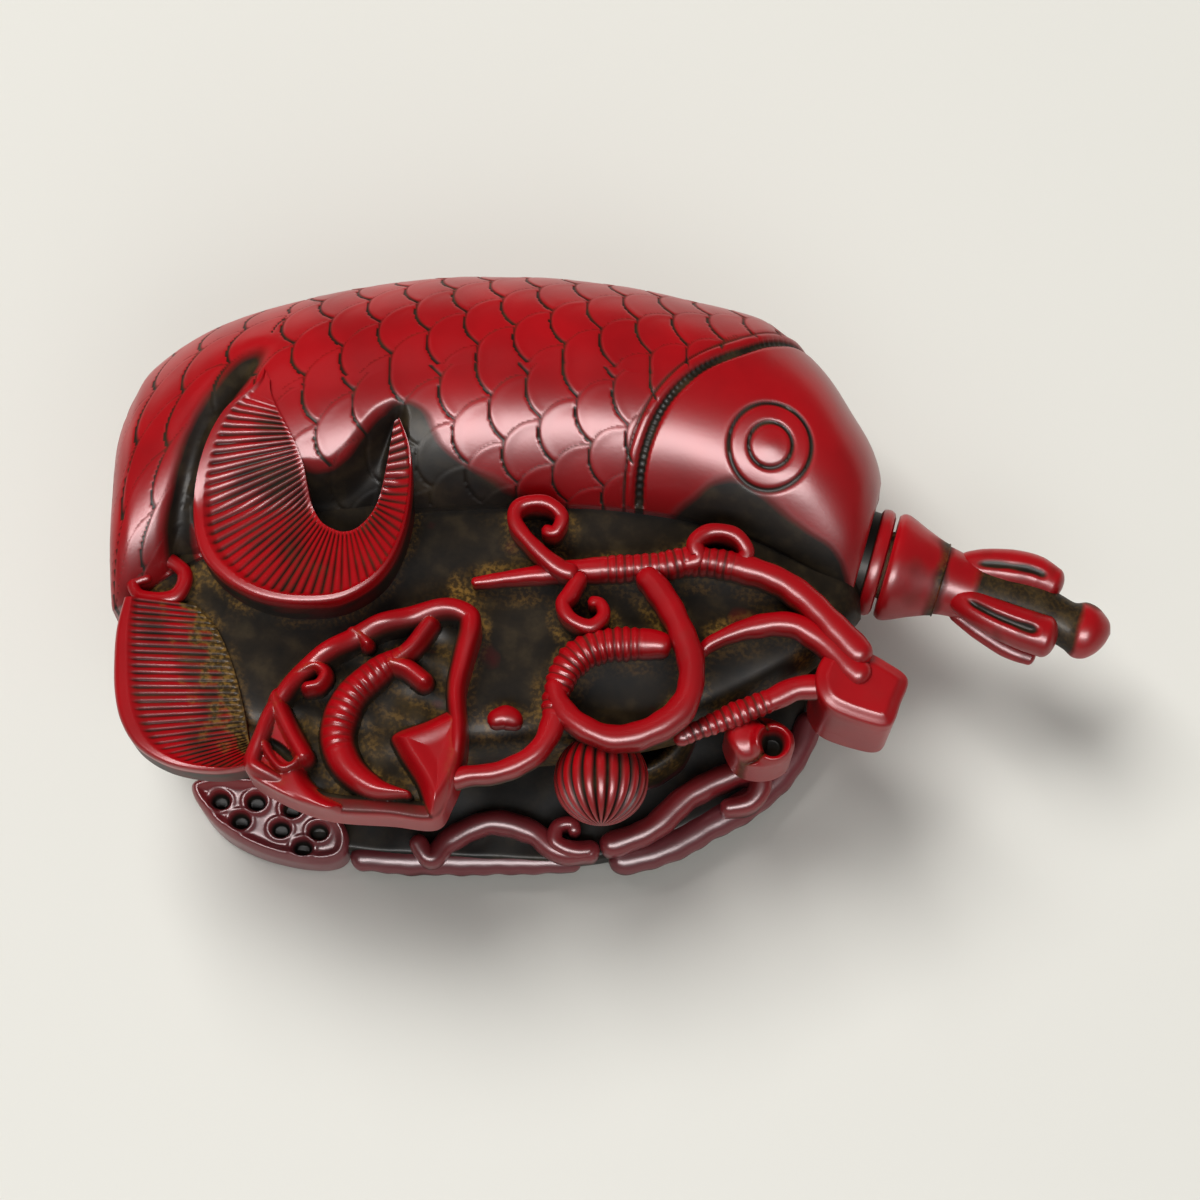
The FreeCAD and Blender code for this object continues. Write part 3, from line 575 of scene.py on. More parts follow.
def stem(name, route, widths, base=GROUND_TOP - 0.8, ribs=0.0, ribbed=(0.0, 1.0), flip=False, stain_low=0.8):
    """A strand along a route; its ribs are a share of its width, on a part of its length."""
    points = np.array(route, float)
    rough_length = np.linalg.norm(np.diff(points[:, :2], axis=0), axis=1).sum()
    count = int(min(max(rough_length / STEM_STEP, 24), 700))
    piece, u, v = grid(name, count, STEM_AROUND)
    line = through(points, count + 1)
    length = np.linalg.norm(np.diff(line, axis=0), axis=1).sum()
    row = np.rint(u * count).astype(int)
    ahead = np.gradient(line, axis=0)
    ahead /= np.linalg.norm(ahead[:, :2], axis=1)[:, None]
    across = np.stack([-ahead[:, 1], ahead[:, 0]], 1)
    shares = np.linspace(0, 1, len(widths))
    s = u * length
    radius = np.interp(u, shares, widths) / 2 * (1 + 0.07 * np.sin(1.9 * s + len(name)) * np.sin(0.8 * s))
    nose = np.minimum(np.minimum(s, length - s) / radius, 1)
    nose = np.sqrt(np.clip(1 - (1 - nose) ** 2, 0, 1))
    angle = v * 2 * math.pi
    c, h = np.cos(angle), np.sin(angle)
    wave = np.cos(s / RIB_PITCH * 2 * math.pi)
    zone = smooth(ribbed[0] - 0.02, ribbed[0] + 0.03, u) * smooth(ribbed[1] + 0.02, ribbed[1] - 0.03, u)
    swell = 1 + ribs * wave * zone
    top = line[row, 2]
    low = np.minimum(base, top - radius)
    mid = top - radius
    out = radius * nose * c * np.where(h < 0, 1 + 0.18 * h * h, 1) * swell
    rise = np.where(h > 0, radius * h * swell, (mid - low) * h) * nose
    spots = np.stack([line[row, 0] + across[row, 0] * out, line[row, 1] + across[row, 1] * out,
                      mid + rise], 1)
    height = (spots[:, 2] - low) / (top - low)
    # Darker towards the foot of the strand: stain, and painted shade where it meets the ground.
    stain = stain_low * smooth(0.8, 0.25, height) + 0.1 * ripple(spots, 3.0, len(name))
    stain = np.maximum(stain, 0.5 * smooth(-0.35, -0.9, wave) * zone * (ribs > 0))
    dust = smooth(0.6, 0.2, height) * (0.5 + 0.3 * ripple(spots, 2.0, len(name) + 1))
    if flip:
        spots[:, 2] = 2 * MID - spots[:, 2]
    spots[:, 2] = np.maximum(spots[:, 2], WORN)
    place(piece, spots, stain, dust)
    close(piece, weld=0.001)
    return piece


def at(points, *levels):
    """A route from plan points, with one height, or with heights spread evenly along it."""
    spread = np.interp(np.linspace(0, 1, len(points)), np.linspace(0, 1, len(levels)), levels)
    return [(x, y, z) for (x, y), z in zip(points, spread)]


STEMS = {
    # name: route, widths along it, ribs' share of the width, part of it that is ribbed
    "scroll_stem": (at(((-12.8, -4.2), (-6.6, -3.5), (-1.3, -3.2), (4.0, -3.0), (7.5, -2.5),
                        (12.8, -3.7), (16.3, -5.6), (19.8, -9.2), (22.3, -11.9)), 22.2, 24.4, 24.6, 24.2),
                    (0.8, 2.0, 2.2, 2.2, 2.8), 0.05, (0.3, 0.62)),
    "stem_a": (at(((-14.5, -22.6), (-13.2, -22.0), (-10.0, -21.6), (-6.9, -20.0), (-5.4, -17.3),
                   (-5.1, -14.6), (-3.9, -11.9), (-1.3, -10.3), (3.1, -10.1), (5.0, -10.6)),
                  23.6, 24.2, 24.4, 24.2), (1.5, 1.6, 2.3, 2.9, 2.2), 0.07, (0.45, 0.9)),
    "stem_loop": (at(((2.2, -3.6), (3.7, -5.2), (5.4, -8.2), (6.7, -12.2), (6.1, -15.8),
                      (3.5, -18.0), (0.0, -18.9), (-3.0, -17.7), (-4.8, -15.8), (-5.4, -13.4)),
                     24.6, 25.3, 25.3, 25.0, 24.4), (2.2, 2.3, 2.4, 2.1, 1.7), 0.0, (0, 1)),
    "stem_c": (at(((7.6, -10.8), (8.6, -9.8), (11.9, -8.5), (15.5, -8.2), (18.5, -9.8),
                   (20.7, -12.1), (22.4, -13.5)), 22.6, 23.6, 23.8), (0.9, 1.8, 2.2, 2.8), 0.0, (0, 1)),
    "stem_d": (at(((5.2, -18.4), (6.6, -17.7), (10.2, -16.2), (13.7, -14.8), (16.4, -13.7),
                   (19.9, -13.9), (22.5, -14.8)), 21.0, 22.0, 22.8), (1.4, 2.2, 2.0, 3.0), 0.06, (0.05, 0.5)),
    "curl_upper": (at(((-3.2, -3.9), (-4.8, -3.5), (-7.0, -1.7), (-8.8, 0.6), (-8.4, 2.2), (-6.2, 2.5),
                       (-4.7, 1.3), (-5.3, -0.1), (-6.5, 0.2)), 24.4, 25.0, 25.0, 24.2),
                   (1.7, 1.4, 1.3, 1.2, 1.1), 0.0, (0, 1)),
    "curl_lower": (at(((-2.8, -3.8), (-3.9, -5.7), (-4.6, -6.8), (-3.9, -8.1), (-2.2, -8.8), (-1.0, -7.8),
                       (-1.3, -6.6), (-2.4, -6.3)), 24.2, 24.6, 24.4, 23.6), (1.5, 1.3, 1.2, 1.0), 0.0, (0, 1)),
    "curl_head": (at(((5.6, -2.9), (7.3, -2.6), (7.1, -1.2), (8.5, -0.2), (10.6, -0.5), (11.7, -1.9),
                      (11.0, -3.1)), 24.3, 25.0, 25.0, 24.2), (1.8, 1.4, 1.3, 1.3), 0.0, (0, 1)),
    "curl_foot": (at(((-44.0, -3.3), (-43.0, -2.0), (-40.9, -1.4), (-38.5, -3.0), (-39.3, -5.2),
                      (-42.2, -5.2), (-43.0, -3.9), (-41.4, -3.3)), 20.6, 21.4, 21.2), (1.4, 1.4, 1.3, 1.0), 0.0,
                  (0, 1)),
    "nub": (at(((-11.2, -17.0), (-9.6, -16.5), (-8.1, -17.1)), 22.4, 22.8, 22.2), (1.4, 2.1, 1.2), 0.0, (0, 1)),
}

# %% [markdown]
# The two fans are the carp's fins. Each is a curved band whose outer rim stands proud and red, and
# whose ribs run in from the rim and keep the stain between them.

# %% Fans
FAN_WALL = 0.07


def fan(name, outer, inner, ribs, tops, rim=0.12, flip=False, along=420, across=96, on_fish=False):
    """A ribbed band between an outer and an inner line; tops are its rim, middle and inner edge."""
    piece, u, v = grid(name, along, across)
    rows = np.rint(u * along).astype(int)
    pairs = through([(*a, *b) for a, b in zip(outer, inner)], along + 1)[rows]
    edge_out, edge_in = pairs[:, :2], pairs[:, 2:]
    share = np.clip((v - FAN_WALL) / (1 - 2 * FAN_WALL), 0, 1)[:, None]
    plan = edge_out * (1 - share) + edge_in * share
    share = share[:, 0]
    rim_top, middle_top, inner_top = tops
    dip = np.interp(share, (0, rim, rim * 1.7, 1), (rim_top - 0.25, rim_top, middle_top, inner_top))
    shoulder = np.sqrt(np.clip(1 - (1 - np.clip(share / 0.05, 0, 1)) ** 2, 0, 1))
    dip -= 0.5 * (1 - shoulder)
    ends = np.minimum(u, 1 - u) * along
    fade = smooth(0, 6, ends)
    wave = np.abs(np.sin(u * math.pi * ribs))
    zone = smooth(rim * 0.95, rim * 1.6, share) * smooth(1.0, 0.93, share)
    over_flank = flank_top(plan) + 0.35 + 0.25 * smooth(0.25, 0.0, share)
    if on_fish:
        dip = (dip + over_flank + np.sqrt((dip - over_flank) ** 2 + 0.8)) / 2
        zone = zone * smooth(0.05, 0.13, u)
    z = dip - 0.2 * (1 - wave) ** 1.2 * zone
    low = GROUND_TOP - 1.2
    side_wall = np.minimum(np.clip(v / FAN_WALL, 0, 1), np.clip((1 - v) / FAN_WALL, 0, 1))
    z = low + (z - low) * np.sqrt(side_wall) * fade
    spots = np.stack([plan[:, 0], plan[:, 1], z], 1)
    # Painted shade: the dish is darker towards its inner edge and towards one end, where it turns from the light.
    # The walls are darker too, partly stain, partly painted shade.
    dish_shade = smooth(0.1, 1.0, share) * (smooth(0.7, 0.3, u) if on_fish else smooth(1.0, 0.6, u))
    stain = zone * (0.12 + 0.2 * dish_shade + 0.5 * (1 - wave) ** 1.2) + 0.6 * smooth(0.9, 0.5, side_wall)
    stain += 0.1 * ripple(spots, 4.0, ribs)
    rim_of_piece = (v < 1e-6) | (v > 1 - 1e-6) | (u < 1e-6) | (u > 1 - 1e-6)
    spots[:, 2] = np.where(rim_of_piece, low, spots[:, 2])
    if flip:
        spots[:, 2] = 2 * MID - spots[:, 2]
    ragged = share + 0.16 * ripple(spots[:, :2], 2.2, ribs + 5)
    dust = 0 * share if on_fish else 0.9 * smooth(0.62, 0.86, ragged)
    stain = stain if on_fish else np.maximum(stain, smooth(0.72, 0.95, ragged))
    place(piece, spots, stain, dust)
    close(piece, weld=0.0005, fill=True)
    return piece


TAIL_OUTER = ((-31.0, 14.2), (-31.6, 12.6), (-34.5, 10.0), (-36.4, 6.2), (-37.3, 1.5), (-36.6, -2.2),
              (-34.3, -4.9), (-31.0, -6.6), (-27.2, -7.1), (-23.7, -6.6), (-20.6, -4.5), (-18.8, -1.2),
              (-18.0, 2.9), (-18.1, 6.7), (-19.2, 9.6))
TAIL_INNER = ((-30.6, 13.2), (-30.4, 11.4), (-29.3, 9.1), (-28.3, 7.3), (-27.6, 5.6), (-27.3, 4.0),
              (-27.0, 2.6), (-26.2, 1.2), (-25.2, 0.5), (-24.1, 0.2), (-22.9, 0.6), (-21.7, 1.9),
              (-20.9, 3.6), (-20.1, 6.2), (-19.4, 9.4))
SIDE_OUTER = ((-43.4, -5.6), (-44.0, -8.6), (-44.1, -11.7), (-43.9, -14.6), (-43.2, -17.2),
              (-41.6, -19.5), (-38.7, -21.1), (-34.8, -21.7), (-31.6, -21.2))
SIDE_INNER = ((-37.6, -5.6), (-35.4, -8.2), (-34.0, -11.2), (-33.2, -13.8), (-32.7, -15.8), (-32.4, -17.4),
              (-32.2, -18.4), (-31.8, -19.2), (-31.2, -20.0))

# %% [markdown]
# The lotus leaf is a shallow dish with a rolled rim. A forked rib crosses it, a plain panel stands
# beside the rib, and the left corner folds over like an eyelid. It is carved as one sheet of
# heights, so that all of these run into each other.

# %% The leaf
LEAF = ((-32.3, -21.2), (-31.4, -18.0), (-30.2, -15.2), (-27.3, -11.5), (-22.1, -8.2), (-18.0, -6.8),
        (-14.4, -6.1), (-12.2, -7.0), (-11.8, -8.8), (-12.5, -11.6), (-13.1, -14.4), (-12.9, -17.7),
        (-13.3, -21.0), (-14.3, -23.8), (-15.7, -25.8), (-19.6, -25.5), (-25.3, -25.0), (-29.9, -23.2))
LEAF_RIB = through(((-18.9, -11.3), (-20.8, -12.5), (-23.3, -15.0), (-24.3, -18.2), (-23.4, -21.0),
                    (-21.0, -23.0), (-18.0, -23.7)), 110)
RIB_WIDTHS = ((0, 0.12, 0.4, 0.62, 0.82, 1), (1.1, 1.5, 1.75, 1.65, 1.25, 0.4))
LEAF_FORK = (through(((-19.2, -11.6), (-17.8, -10.4), (-16.3, -8.3)), 20),
             through(((-19.6, -11.9), (-18.2, -12.4), (-16.8, -13.5)), 20))
LEAF_SHEET = ((-31.6, -14.6), (-29.8, -14.4), (-28.0, -16.8), (-26.5, -19.6), (-26.8, -21.6), (-25.4, -23.3),
              (-23.4, -24.6), (-25.4, -26.4), (-31.0, -25.0), (-34.0, -21.5), (-33.0, -17.0))
LEAF_PANEL = ((-19.4, -18.3), (-16.6, -17.1), (-13.6, -16.0), (-12.4, -18.6), (-13.0, -21.6), (-14.6, -24.6),
              (-16.0, -25.6), (-17.2, -22.8), (-19.0, -19.9))
EYELID = through(((-29.9, -14.9), (-28.6, -17.7), (-27.1, -20.4)), 40)
EYE_SLIT = through(((-30.3, -19.0), (-29.3, -19.6), (-28.3, -20.5)), 20)
EYELID_LOW = through(((-30.7, -19.0), (-29.9, -20.5), (-28.9, -21.5), (-27.9, -21.2), (-27.4, -20.5)), 30)
LEAF_CURLS = (through(((-29.0, -14.2), (-27.7, -12.9), (-26.3, -12.2), (-25.4, -12.9), (-25.9, -13.9),
                       (-26.9, -14.2)), 40),
              through(((-23.2, -9.0), (-22.3, -9.6), (-21.8, -10.2)), 20))


def raised(spots, line, width, top):
    """A rounded ridge along a line: its height, with the distance of each spot from the line."""
    away, _, _ = from_line(spots, line)
    return top * np.sqrt(np.clip(1 - (away / width) ** 2, 0, 1)), away


PANEL_SHOULDER = 0.5
WALL_ROWS = 6


def panel(name, outline, heights, floor, columns, rows):
    """A closed block with an upright wall round an outline, whose top is a sheet of heights."""
    piece, u, v = grid(name, columns, rows)
    edge = through(outline, columns + 1, closed=True)[np.rint(u * columns).astype(int)]
    centre = np.mean(np.array(outline, float), axis=0)
    wall = WALL_ROWS / rows
    inward = np.clip((v - wall) / (1 - wall), 0, 1)[:, None]
    plan = edge * (1 - inward) + centre * inward
    inside = np.maximum(depth_inside(plan, outline), 0)
    inside = np.where(inward[:, 0] == 0, 0, inside)
    z, stain, dust = heights(plan, inside)
    left = np.clip(PANEL_SHOULDER - inside, 0, PANEL_SHOULDER)
    z = z - (PANEL_SHOULDER - np.sqrt(PANEL_SHOULDER**2 - left**2))
    share = np.clip(v / wall, 0, 1)
    z = floor + (z - floor) * share
    place(piece, np.column_stack([plan, np.maximum(z, WORN)]), stain, dust)
    close(piece, weld=0.0005, fill=True)
    return piece


def leaf_heights(plan, inside):
    """The dish, with the rim, the sheets, the rib and the folds laid over it."""
    dish = 21.4 + 0.12 * ripple(plan, 2.2, 5)
    z = dish
    stain = np.full(len(plan), 0.9) + 0.15 * ripple(plan, 3.0, 6)
    dust = 0.25 + 0.25 * ripple(plan, 2.6, 7)
    layers = []
    rim = 1.0 + 0.35 * smooth(-16, -8, plan[:, 1])
    standing = 1 - 0.75 * smooth(-21.0, -24.0, plan[:, 1]) * smooth(-13.6, -15.4, plan[:, 0])
    uneven = 1 + 0.1 * ripple(plan, 5.0, 8)
    rim_height = 21.8 + 2.5 * standing * uneven * np.sqrt(np.clip(1 - ((inside - 0.75) / rim) ** 2, 0, 1))
    layers.append((np.where(inside < 0.75 + rim, rim_height, 0),
                   0.6 * smooth(0.75 + 0.4 * rim, 0.75 + rim, inside) + 0.5 * (1 - standing)))
    for outline, top in ((LEAF_SHEET, 23.6), (LEAF_PANEL, 24.3)):
        sheet = depth_inside(plan, outline)
        plate = top - 2.4 + 2.4 * np.sqrt(smooth(-0.15, 1.3, sheet)) - 0.3 * smooth(1.2, 2.6, sheet)
        layers.append((np.where(sheet > -0.15, plate, 0), 0.6 * smooth(0.3, -0.1, sheet)))
    slit, away = raised(plan, EYE_SLIT, 0.42, 0.8)
    layers[1] = (layers[1][0] - slit, np.maximum(layers[1][1], smooth(0.5, 0.25, away)))
    away, along, _ = from_line(plan, LEAF_RIB)
    width = np.interp(along, *RIB_WIDTHS)
    cross = np.cos(along * 2 * math.pi * 24)
    ribbed = smooth(0.62, 0.5, along)
    cross = cross * (0.7 + 0.3 * ripple(plan, 1.6, 9))
    rib = 3.0 * np.sqrt(np.clip(1 - (away / width) ** 2, 0, 1)) * (1 + 0.04 * cross * ribbed) + 21.0
    rib_stain = np.maximum(0.26 * smooth(-0.1, -0.95, cross) * ribbed, 0.6 * smooth(0.6, 1.0, away / width))
    layers.append((np.where(away < width, rib, 0), rib_stain))
    folds = [(line, 1.0, 2.9) for line in LEAF_FORK] + [(line, 0.75, 2.9) for line in LEAF_CURLS]
    for line, width, top in folds + [(EYELID, 1.0, 3.3), (EYELID_LOW, 0.6, 3.0)]:
        fold, away = raised(plan, line, width, top)
        layers.append((np.where(fold > 0, 21.2 + fold, 0), 0.5 * smooth(0.75 * width, width, away)))
    for height, mark in layers:
        above = height - z
        dust = np.where(above > 0, 0.25 * smooth(0.7, 0.0, above), dust)
        stain = np.where(above > 0, mark + 0.12, stain)
        z = np.maximum(z, height)
    return z, stain * smooth(0.0, 0.3, inside), dust * smooth(0.0, 1.0, inside)


# %% Pieces cut in one with the block
BALL = np.array([-1.2, -21.5, 19.0])
BALL_RADIUS = 4.2
BALL_RIBS = 22


def ribbed_ball():
    """The bud under the loop: a ball cut with ribs from pole to pole."""
    piece, u, v = grid("ribbed_bud", 260, 90)
    turn = u * 2 * math.pi
    tilt = (v - 0.5) * math.pi
    wave = np.abs(np.sin(turn * BALL_RIBS / 2))
    radius = BALL_RADIUS - 0.34 * (1 - wave) ** 1.6 * smooth(1.5, 1.1, np.abs(tilt))
    spots = np.stack([np.cos(tilt) * np.cos(turn), np.sin(tilt), np.cos(tilt) * np.sin(turn)], 1)
    place(piece, BALL + spots * radius[:, None] * (1.0, 0.98, 1.0), 0.75 * (1 - wave) ** 1.2 + 0.08)
    close(piece)
    return piece


POD_HOLES = ((-33.1, -21.0), (-29.8, -21.6), (-34.6, -22.6), (-30.9, -23.3), (-27.4, -23.5), (-28.9, -24.9),
             (-36.4, -20.9))
POD = ((-38.9, -19.4), (-37.0, -22.9), (-32.7, -25.3), (-27.6, -26.3), (-25.0, -25.5), (-25.0, -22.9),
       (-28.4, -20.2), (-33.6, -18.8))


def pod_heights(plan, inside):
    """The pod's flat face, which tilts down to the table, with a hole for each seed."""
    z = 7.6 + 0.55 * (plan[:, 1] + 20) + 0.6 * np.exp(-((inside - 0.5) / 0.45) ** 2)
    stain = 0.12 + 0 * z
    for x, y in POD_HOLES:
        away = np.hypot((plan[:, 0] - x) / 1.25, plan[:, 1] - y)
        hole = smooth(0.85, 0.45, away)
        z = z - 1.2 * hole + 0.2 * np.exp(-((away - 0.95) / 0.22) ** 2)
        stain = np.maximum(stain, hole)
    return z, stain, 0 * z


STEM_END = ((19.0, -10.6), (21.6, -10.4), (24.2, -11.6), (25.9, -13.0), (25.2, -15.2), (24.2, -17.3),
            (22.0, -17.2), (18.6, -15.8), (17.6, -13.2))


def stem_end_heights(plan, inside):
    """The lotus stalk's cut end: a square block, higher where the stems run into it."""
    z = 22.9 - 0.16 * (plan[:, 0] - 19) + 0.5 * smooth(0.2, 1.2, inside)
    return z, 0.1 + 0 * z, 0 * z


BLOOM = ((9.8, -17.0), (11.4, -15.8), (14.0, -16.0), (15.8, -17.4), (15.6, -19.4), (13.6, -20.4),
         (11.0, -19.8))


def bloom_heights(plan, inside):
    """The flower seen from its side: a round bead on the left, and an open cup beside it."""
    bead = np.hypot(plan[:, 0] - 11.5, plan[:, 1] + 17.9)
    cup = np.hypot(plan[:, 0] - 14.0, plan[:, 1] + 18.4)
    z = 19.2 + 1.6 * np.sqrt(np.clip(1 - (bead / 2.1) ** 2, 0, 1)) + 0.9 * np.exp(-((cup - 1.5) / 0.42) ** 2)
    pit = smooth(1.25, 0.7, cup)
    z -= 1.5 * pit
    gap = np.exp(-((bead - 2.15) / 0.2) ** 2) * (cup > 1.2)
    return z - 0.3 * gap, np.maximum(0.1, np.maximum(pit, 0.5 * gap)), 0.5 * gap


BACK_FIELD = ((-38.6, -15.0), (-36.6, -21.0), (-31.5, -24.0), (-26.5, -24.7), (-21.8, -25.3), (-16.2, -25.6),
              (-10.6, -25.9), (-3.6, -26.0), (2.4, -24.8), (8.1, -22.2), (13.7, -18.8), (17.4, -14.0),
              (18.0, -8.0), (8.0, -3.0), (-10.0, -2.0), (-28.0, -4.0), (-38.0, -9.0))


def back_field_heights(plan, inside):
    """The ground between the stems of the back: stained dark, and fully dark as painted shade in the gap under the
    front.
    """
    return 4.4 + 0.15 * ripple(plan, 5.0, 41), 1.0 + 0 * inside, 0 * inside


# %% Where dust gathers on the ground
CREASES = [(np.array(through(route, 60)), max(widths) / 2) for route, widths, _, _ in STEMS.values()]
for outline in (LEAF, TAIL_OUTER, SIDE_INNER):
    CREASES.append((through(outline, 90, closed=outline is LEAF), 0.0))


# %% Carving the bottle
bottle_pieces = [
    carp("carp_front", 1),
    carp("carp_back", -1),
    ground(),
    fan("tail_fin", TAIL_OUTER, TAIL_INNER, 58, (25.2, 24.7, 22.9), rim=0.09, along=640, on_fish=True),
    fan("tail_fin_back", TAIL_OUTER, TAIL_INNER, 44, (25.2, 24.6, 22.9), flip=True, along=300, across=60,
        on_fish=True),
    fan("side_fin", SIDE_OUTER, SIDE_INNER, 34, (23.2, 22.8, 20.3), rim=0.12, along=420),
    fan("side_fin_back", [(x, y * 0.72) for x, y in SIDE_OUTER], [(x, y * 0.72) for x, y in SIDE_INNER], 24,
        (23.2, 22.7, 21.2), rim=0.1, flip=True, along=200, across=60),
    panel("lotus_leaf", LEAF, leaf_heights, 17.6, columns=720, rows=130),
    panel("seed_pod", POD, pod_heights, WORN + 0.3, columns=300, rows=70),
    panel("stem_end", STEM_END, stem_end_heights, 12.0, columns=240, rows=50),
    panel("bloom", BLOOM, bloom_heights, 13.0, columns=240, rows=50),
    panel("back_field", BACK_FIELD, back_field_heights, 1.2, columns=300, rows=60),
    ribbed_ball(),
]
for name, (route, widths, ribs, ribbed) in STEMS.items():
    bottle_pieces.append(stem(name, route, widths, ribs=ribs, ribbed=ribbed))
for name in ("scroll_stem", "stem_loop"):
    route, widths, ribs, ribbed = STEMS[name]
    bottle_pieces.append(stem(name + "_back", route, widths, ribs=ribs, ribbed=ribbed, flip=True))

BACK_STEMS = {
    "back_leaf_rim": (at(((-18.5, -24.0), (-17.0, -26.0), (-15.2, -24.2), (-11.5, -22.6), (-7.8, -23.4),
                          (-5.0, -25.3), (-1.3, -25.3)), 7.0, 6.6, 6.6, 6.8), (1.6, 2.2, 2.2, 2.0)),
    "back_leaf_low": (at(((-24.6, -25.4), (-20.0, -25.6), (-14.0, -25.6), (-8.0, -25.7), (-3.0, -25.9)),
                         4.4, 4.2, 4.2), (2.4, 3.0, 2.8, 2.0)),
    "back_curl": (at(((-1.6, -25.2), (-3.6, -25.4), (-5.4, -24.6), (-5.2, -23.2), (-3.9, -23.0), (-3.6, -24.1)),
                     6.8, 7.4, 7.2), (1.6, 1.4, 1.2)),
    "back_stem_a": (at(((-1.3, -25.1), (3.3, -23.4), (7.1, -20.2), (11.7, -18.2), (13.6, -19.0), (12.6, -20.9),
                        (9.8, -21.6)), 7.0, 8.0, 8.4, 7.6), (2.2, 2.4, 2.2, 1.6)),
    "back_stem_b": (at(((-0.5, -26.0), (4.0, -25.0), (8.6, -22.6), (13.6, -19.6), (17.2, -15.6), (18.6, -12.0)),
                       4.6, 5.0, 6.0), (2.6, 3.0, 3.0, 2.4)),
}
for name, (route, widths) in BACK_STEMS.items():
    bottle_pieces.append(stem(name, route, widths, base=1.2, stain_low=0.75))

# %% [markdown]
# The neck and the hollow are turned inside the fish: one shell, whose outer wall shows at the lip
# and whose inner wall is the bore and the snuff chamber.

# %% Neck and hollow
INNER_ROWS = 16
GROOVE_ROWS = (7, 9)
NECK_AROUND = 96
DRILL_RADIUS = 4.2
NECK_OUTER = ((-52.8, 0.0), (-52.6, 4.3), (-46.5, 8.0), (-36.0, 8.0), (-22.0, 6.3), (-12.0, 5.8),
              (-4.0, 5.6), (-2.6, 5.2), (-2.1, 4.55), (-1.4, 4.5), (-1.2, 4.9), (-0.9, 5.0), (-0.5, 5.0),
              (-0.15, 4.8), (0.0, 4.4), (0.0, 3.5), (-0.2, 3.24), (-0.5, 3.2), (-6.5, 3.2), (-11.5, 4.8),
              (-22.0, 5.5), (-36.0, 7.2), (-46.0, 7.2), (-52.0, 3.6), (-52.0, 0.0))


def neck():
    piece, u, v = grid("neck_and_hollow", len(NECK_OUTER) - 1, NECK_AROUND)
    outline = np.array(NECK_OUTER)
    row = np.rint(u * (len(outline) - 1)).astype(int)
    turn = v * 2 * math.pi
    spots = np.stack([outline[row, 0], outline[row, 1] * np.cos(turn), outline[row, 1] * np.sin(turn)], 1)
    inner = row >= INNER_ROWS
    groove = (row >= GROOVE_ROWS[0]) & (row <= GROOVE_ROWS[1])
    place(piece, spots, np.where(inner | groove, 0.85, 0.08))
    close(piece)
    return piece


settle(neck(), RESIN, NECK, "bottle", angle=35)

# The fish ends in the neck, so the two flanks and the ground are drilled for it
bpy.ops.object.select_all(action="DESELECT")
bpy.ops.mesh.primitive_cylinder_add(vertices=64, radius=DRILL_RADIUS, depth=24, rotation=(0, math.pi / 2, 0),
                                    location=(-4, 0, 0))
drill = bpy.context.object
bpy.ops.object.transform_apply(location=True, rotation=True, scale=True)
drill.data.transform(PLAN.inverted() @ NECK)
for piece in bottle_pieces[:3]:
    cutter = piece.modifiers.new("drill", "BOOLEAN")
    cutter.operation = "DIFFERENCE"
    cutter.solver = "EXACT"
    cutter.object = drill
    bpy.ops.object.select_all(action="DESELECT")
    bpy.context.view_layer.objects.active = piece
    piece.select_set(True)
    bpy.ops.object.modifier_apply(modifier="drill")
bpy.data.objects.remove(drill)

for piece in bottle_pieces:
    settle(piece, RESIN, PLAN, "bottle")
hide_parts("bottle_body")

# %% [markdown]
# The stopper's finial is a lotus bud between two petals. The lower petal is a thick finger with a
# groove along it, the upper one is thinner, and the bud's tip shows between them. The collar is
# turned again here, so that its stain matches the bud's.

# %% The finial
BUD = ((5.3, 0.0, 3.25), (6.2, 0.0, 3.1), (7.5, -0.1, 2.9), (9.5, -0.2, 2.7), (12.0, -0.2, 2.6), (14.5, -0.4, 2.5),
       (16.6, -0.7, 2.2), (17.8, -1.0, 2.2), (18.8, -1.1, 2.6), (19.8, -1.1, 2.45), (20.7, -1.0, 1.8),
       (21.3, -0.8, 1.0), (21.6, -0.7, 0.0))


def bud():
    """The bud between the petals: dark where they cover it, and red again at its tip."""
    piece, u, v = grid("finial_bud", 150, 80)
    line = through(BUD, 151)
    row = np.rint(u * 150).astype(int)
    x, drop, radius = line[row].T
    radius = np.maximum(radius, 0)
    turn = v * 2 * math.pi
    spots = np.stack([x, drop + radius * np.cos(turn), radius * np.sin(turn)], 1)
    start = u < 1e-6
    spots[start, 1] = drop[start]
    spots[start, 2] = 0
    covered = smooth(7.6, 9.6, x) * smooth(19.0, 17.9, x)
    top_edge = smooth(0.2, 1.4, spots[:, 1]) * smooth(17.5, 19.0, x)
    stain = np.maximum(0.85 * covered, 0.6 * top_edge) + 0.55 * smooth(6.4, 5.3, x)
    place(piece, spots, stain + 0.1 * ripple(spots, 2.0, 31), 0.16 * covered + 0.2 * top_edge)
    close(piece)
    return piece


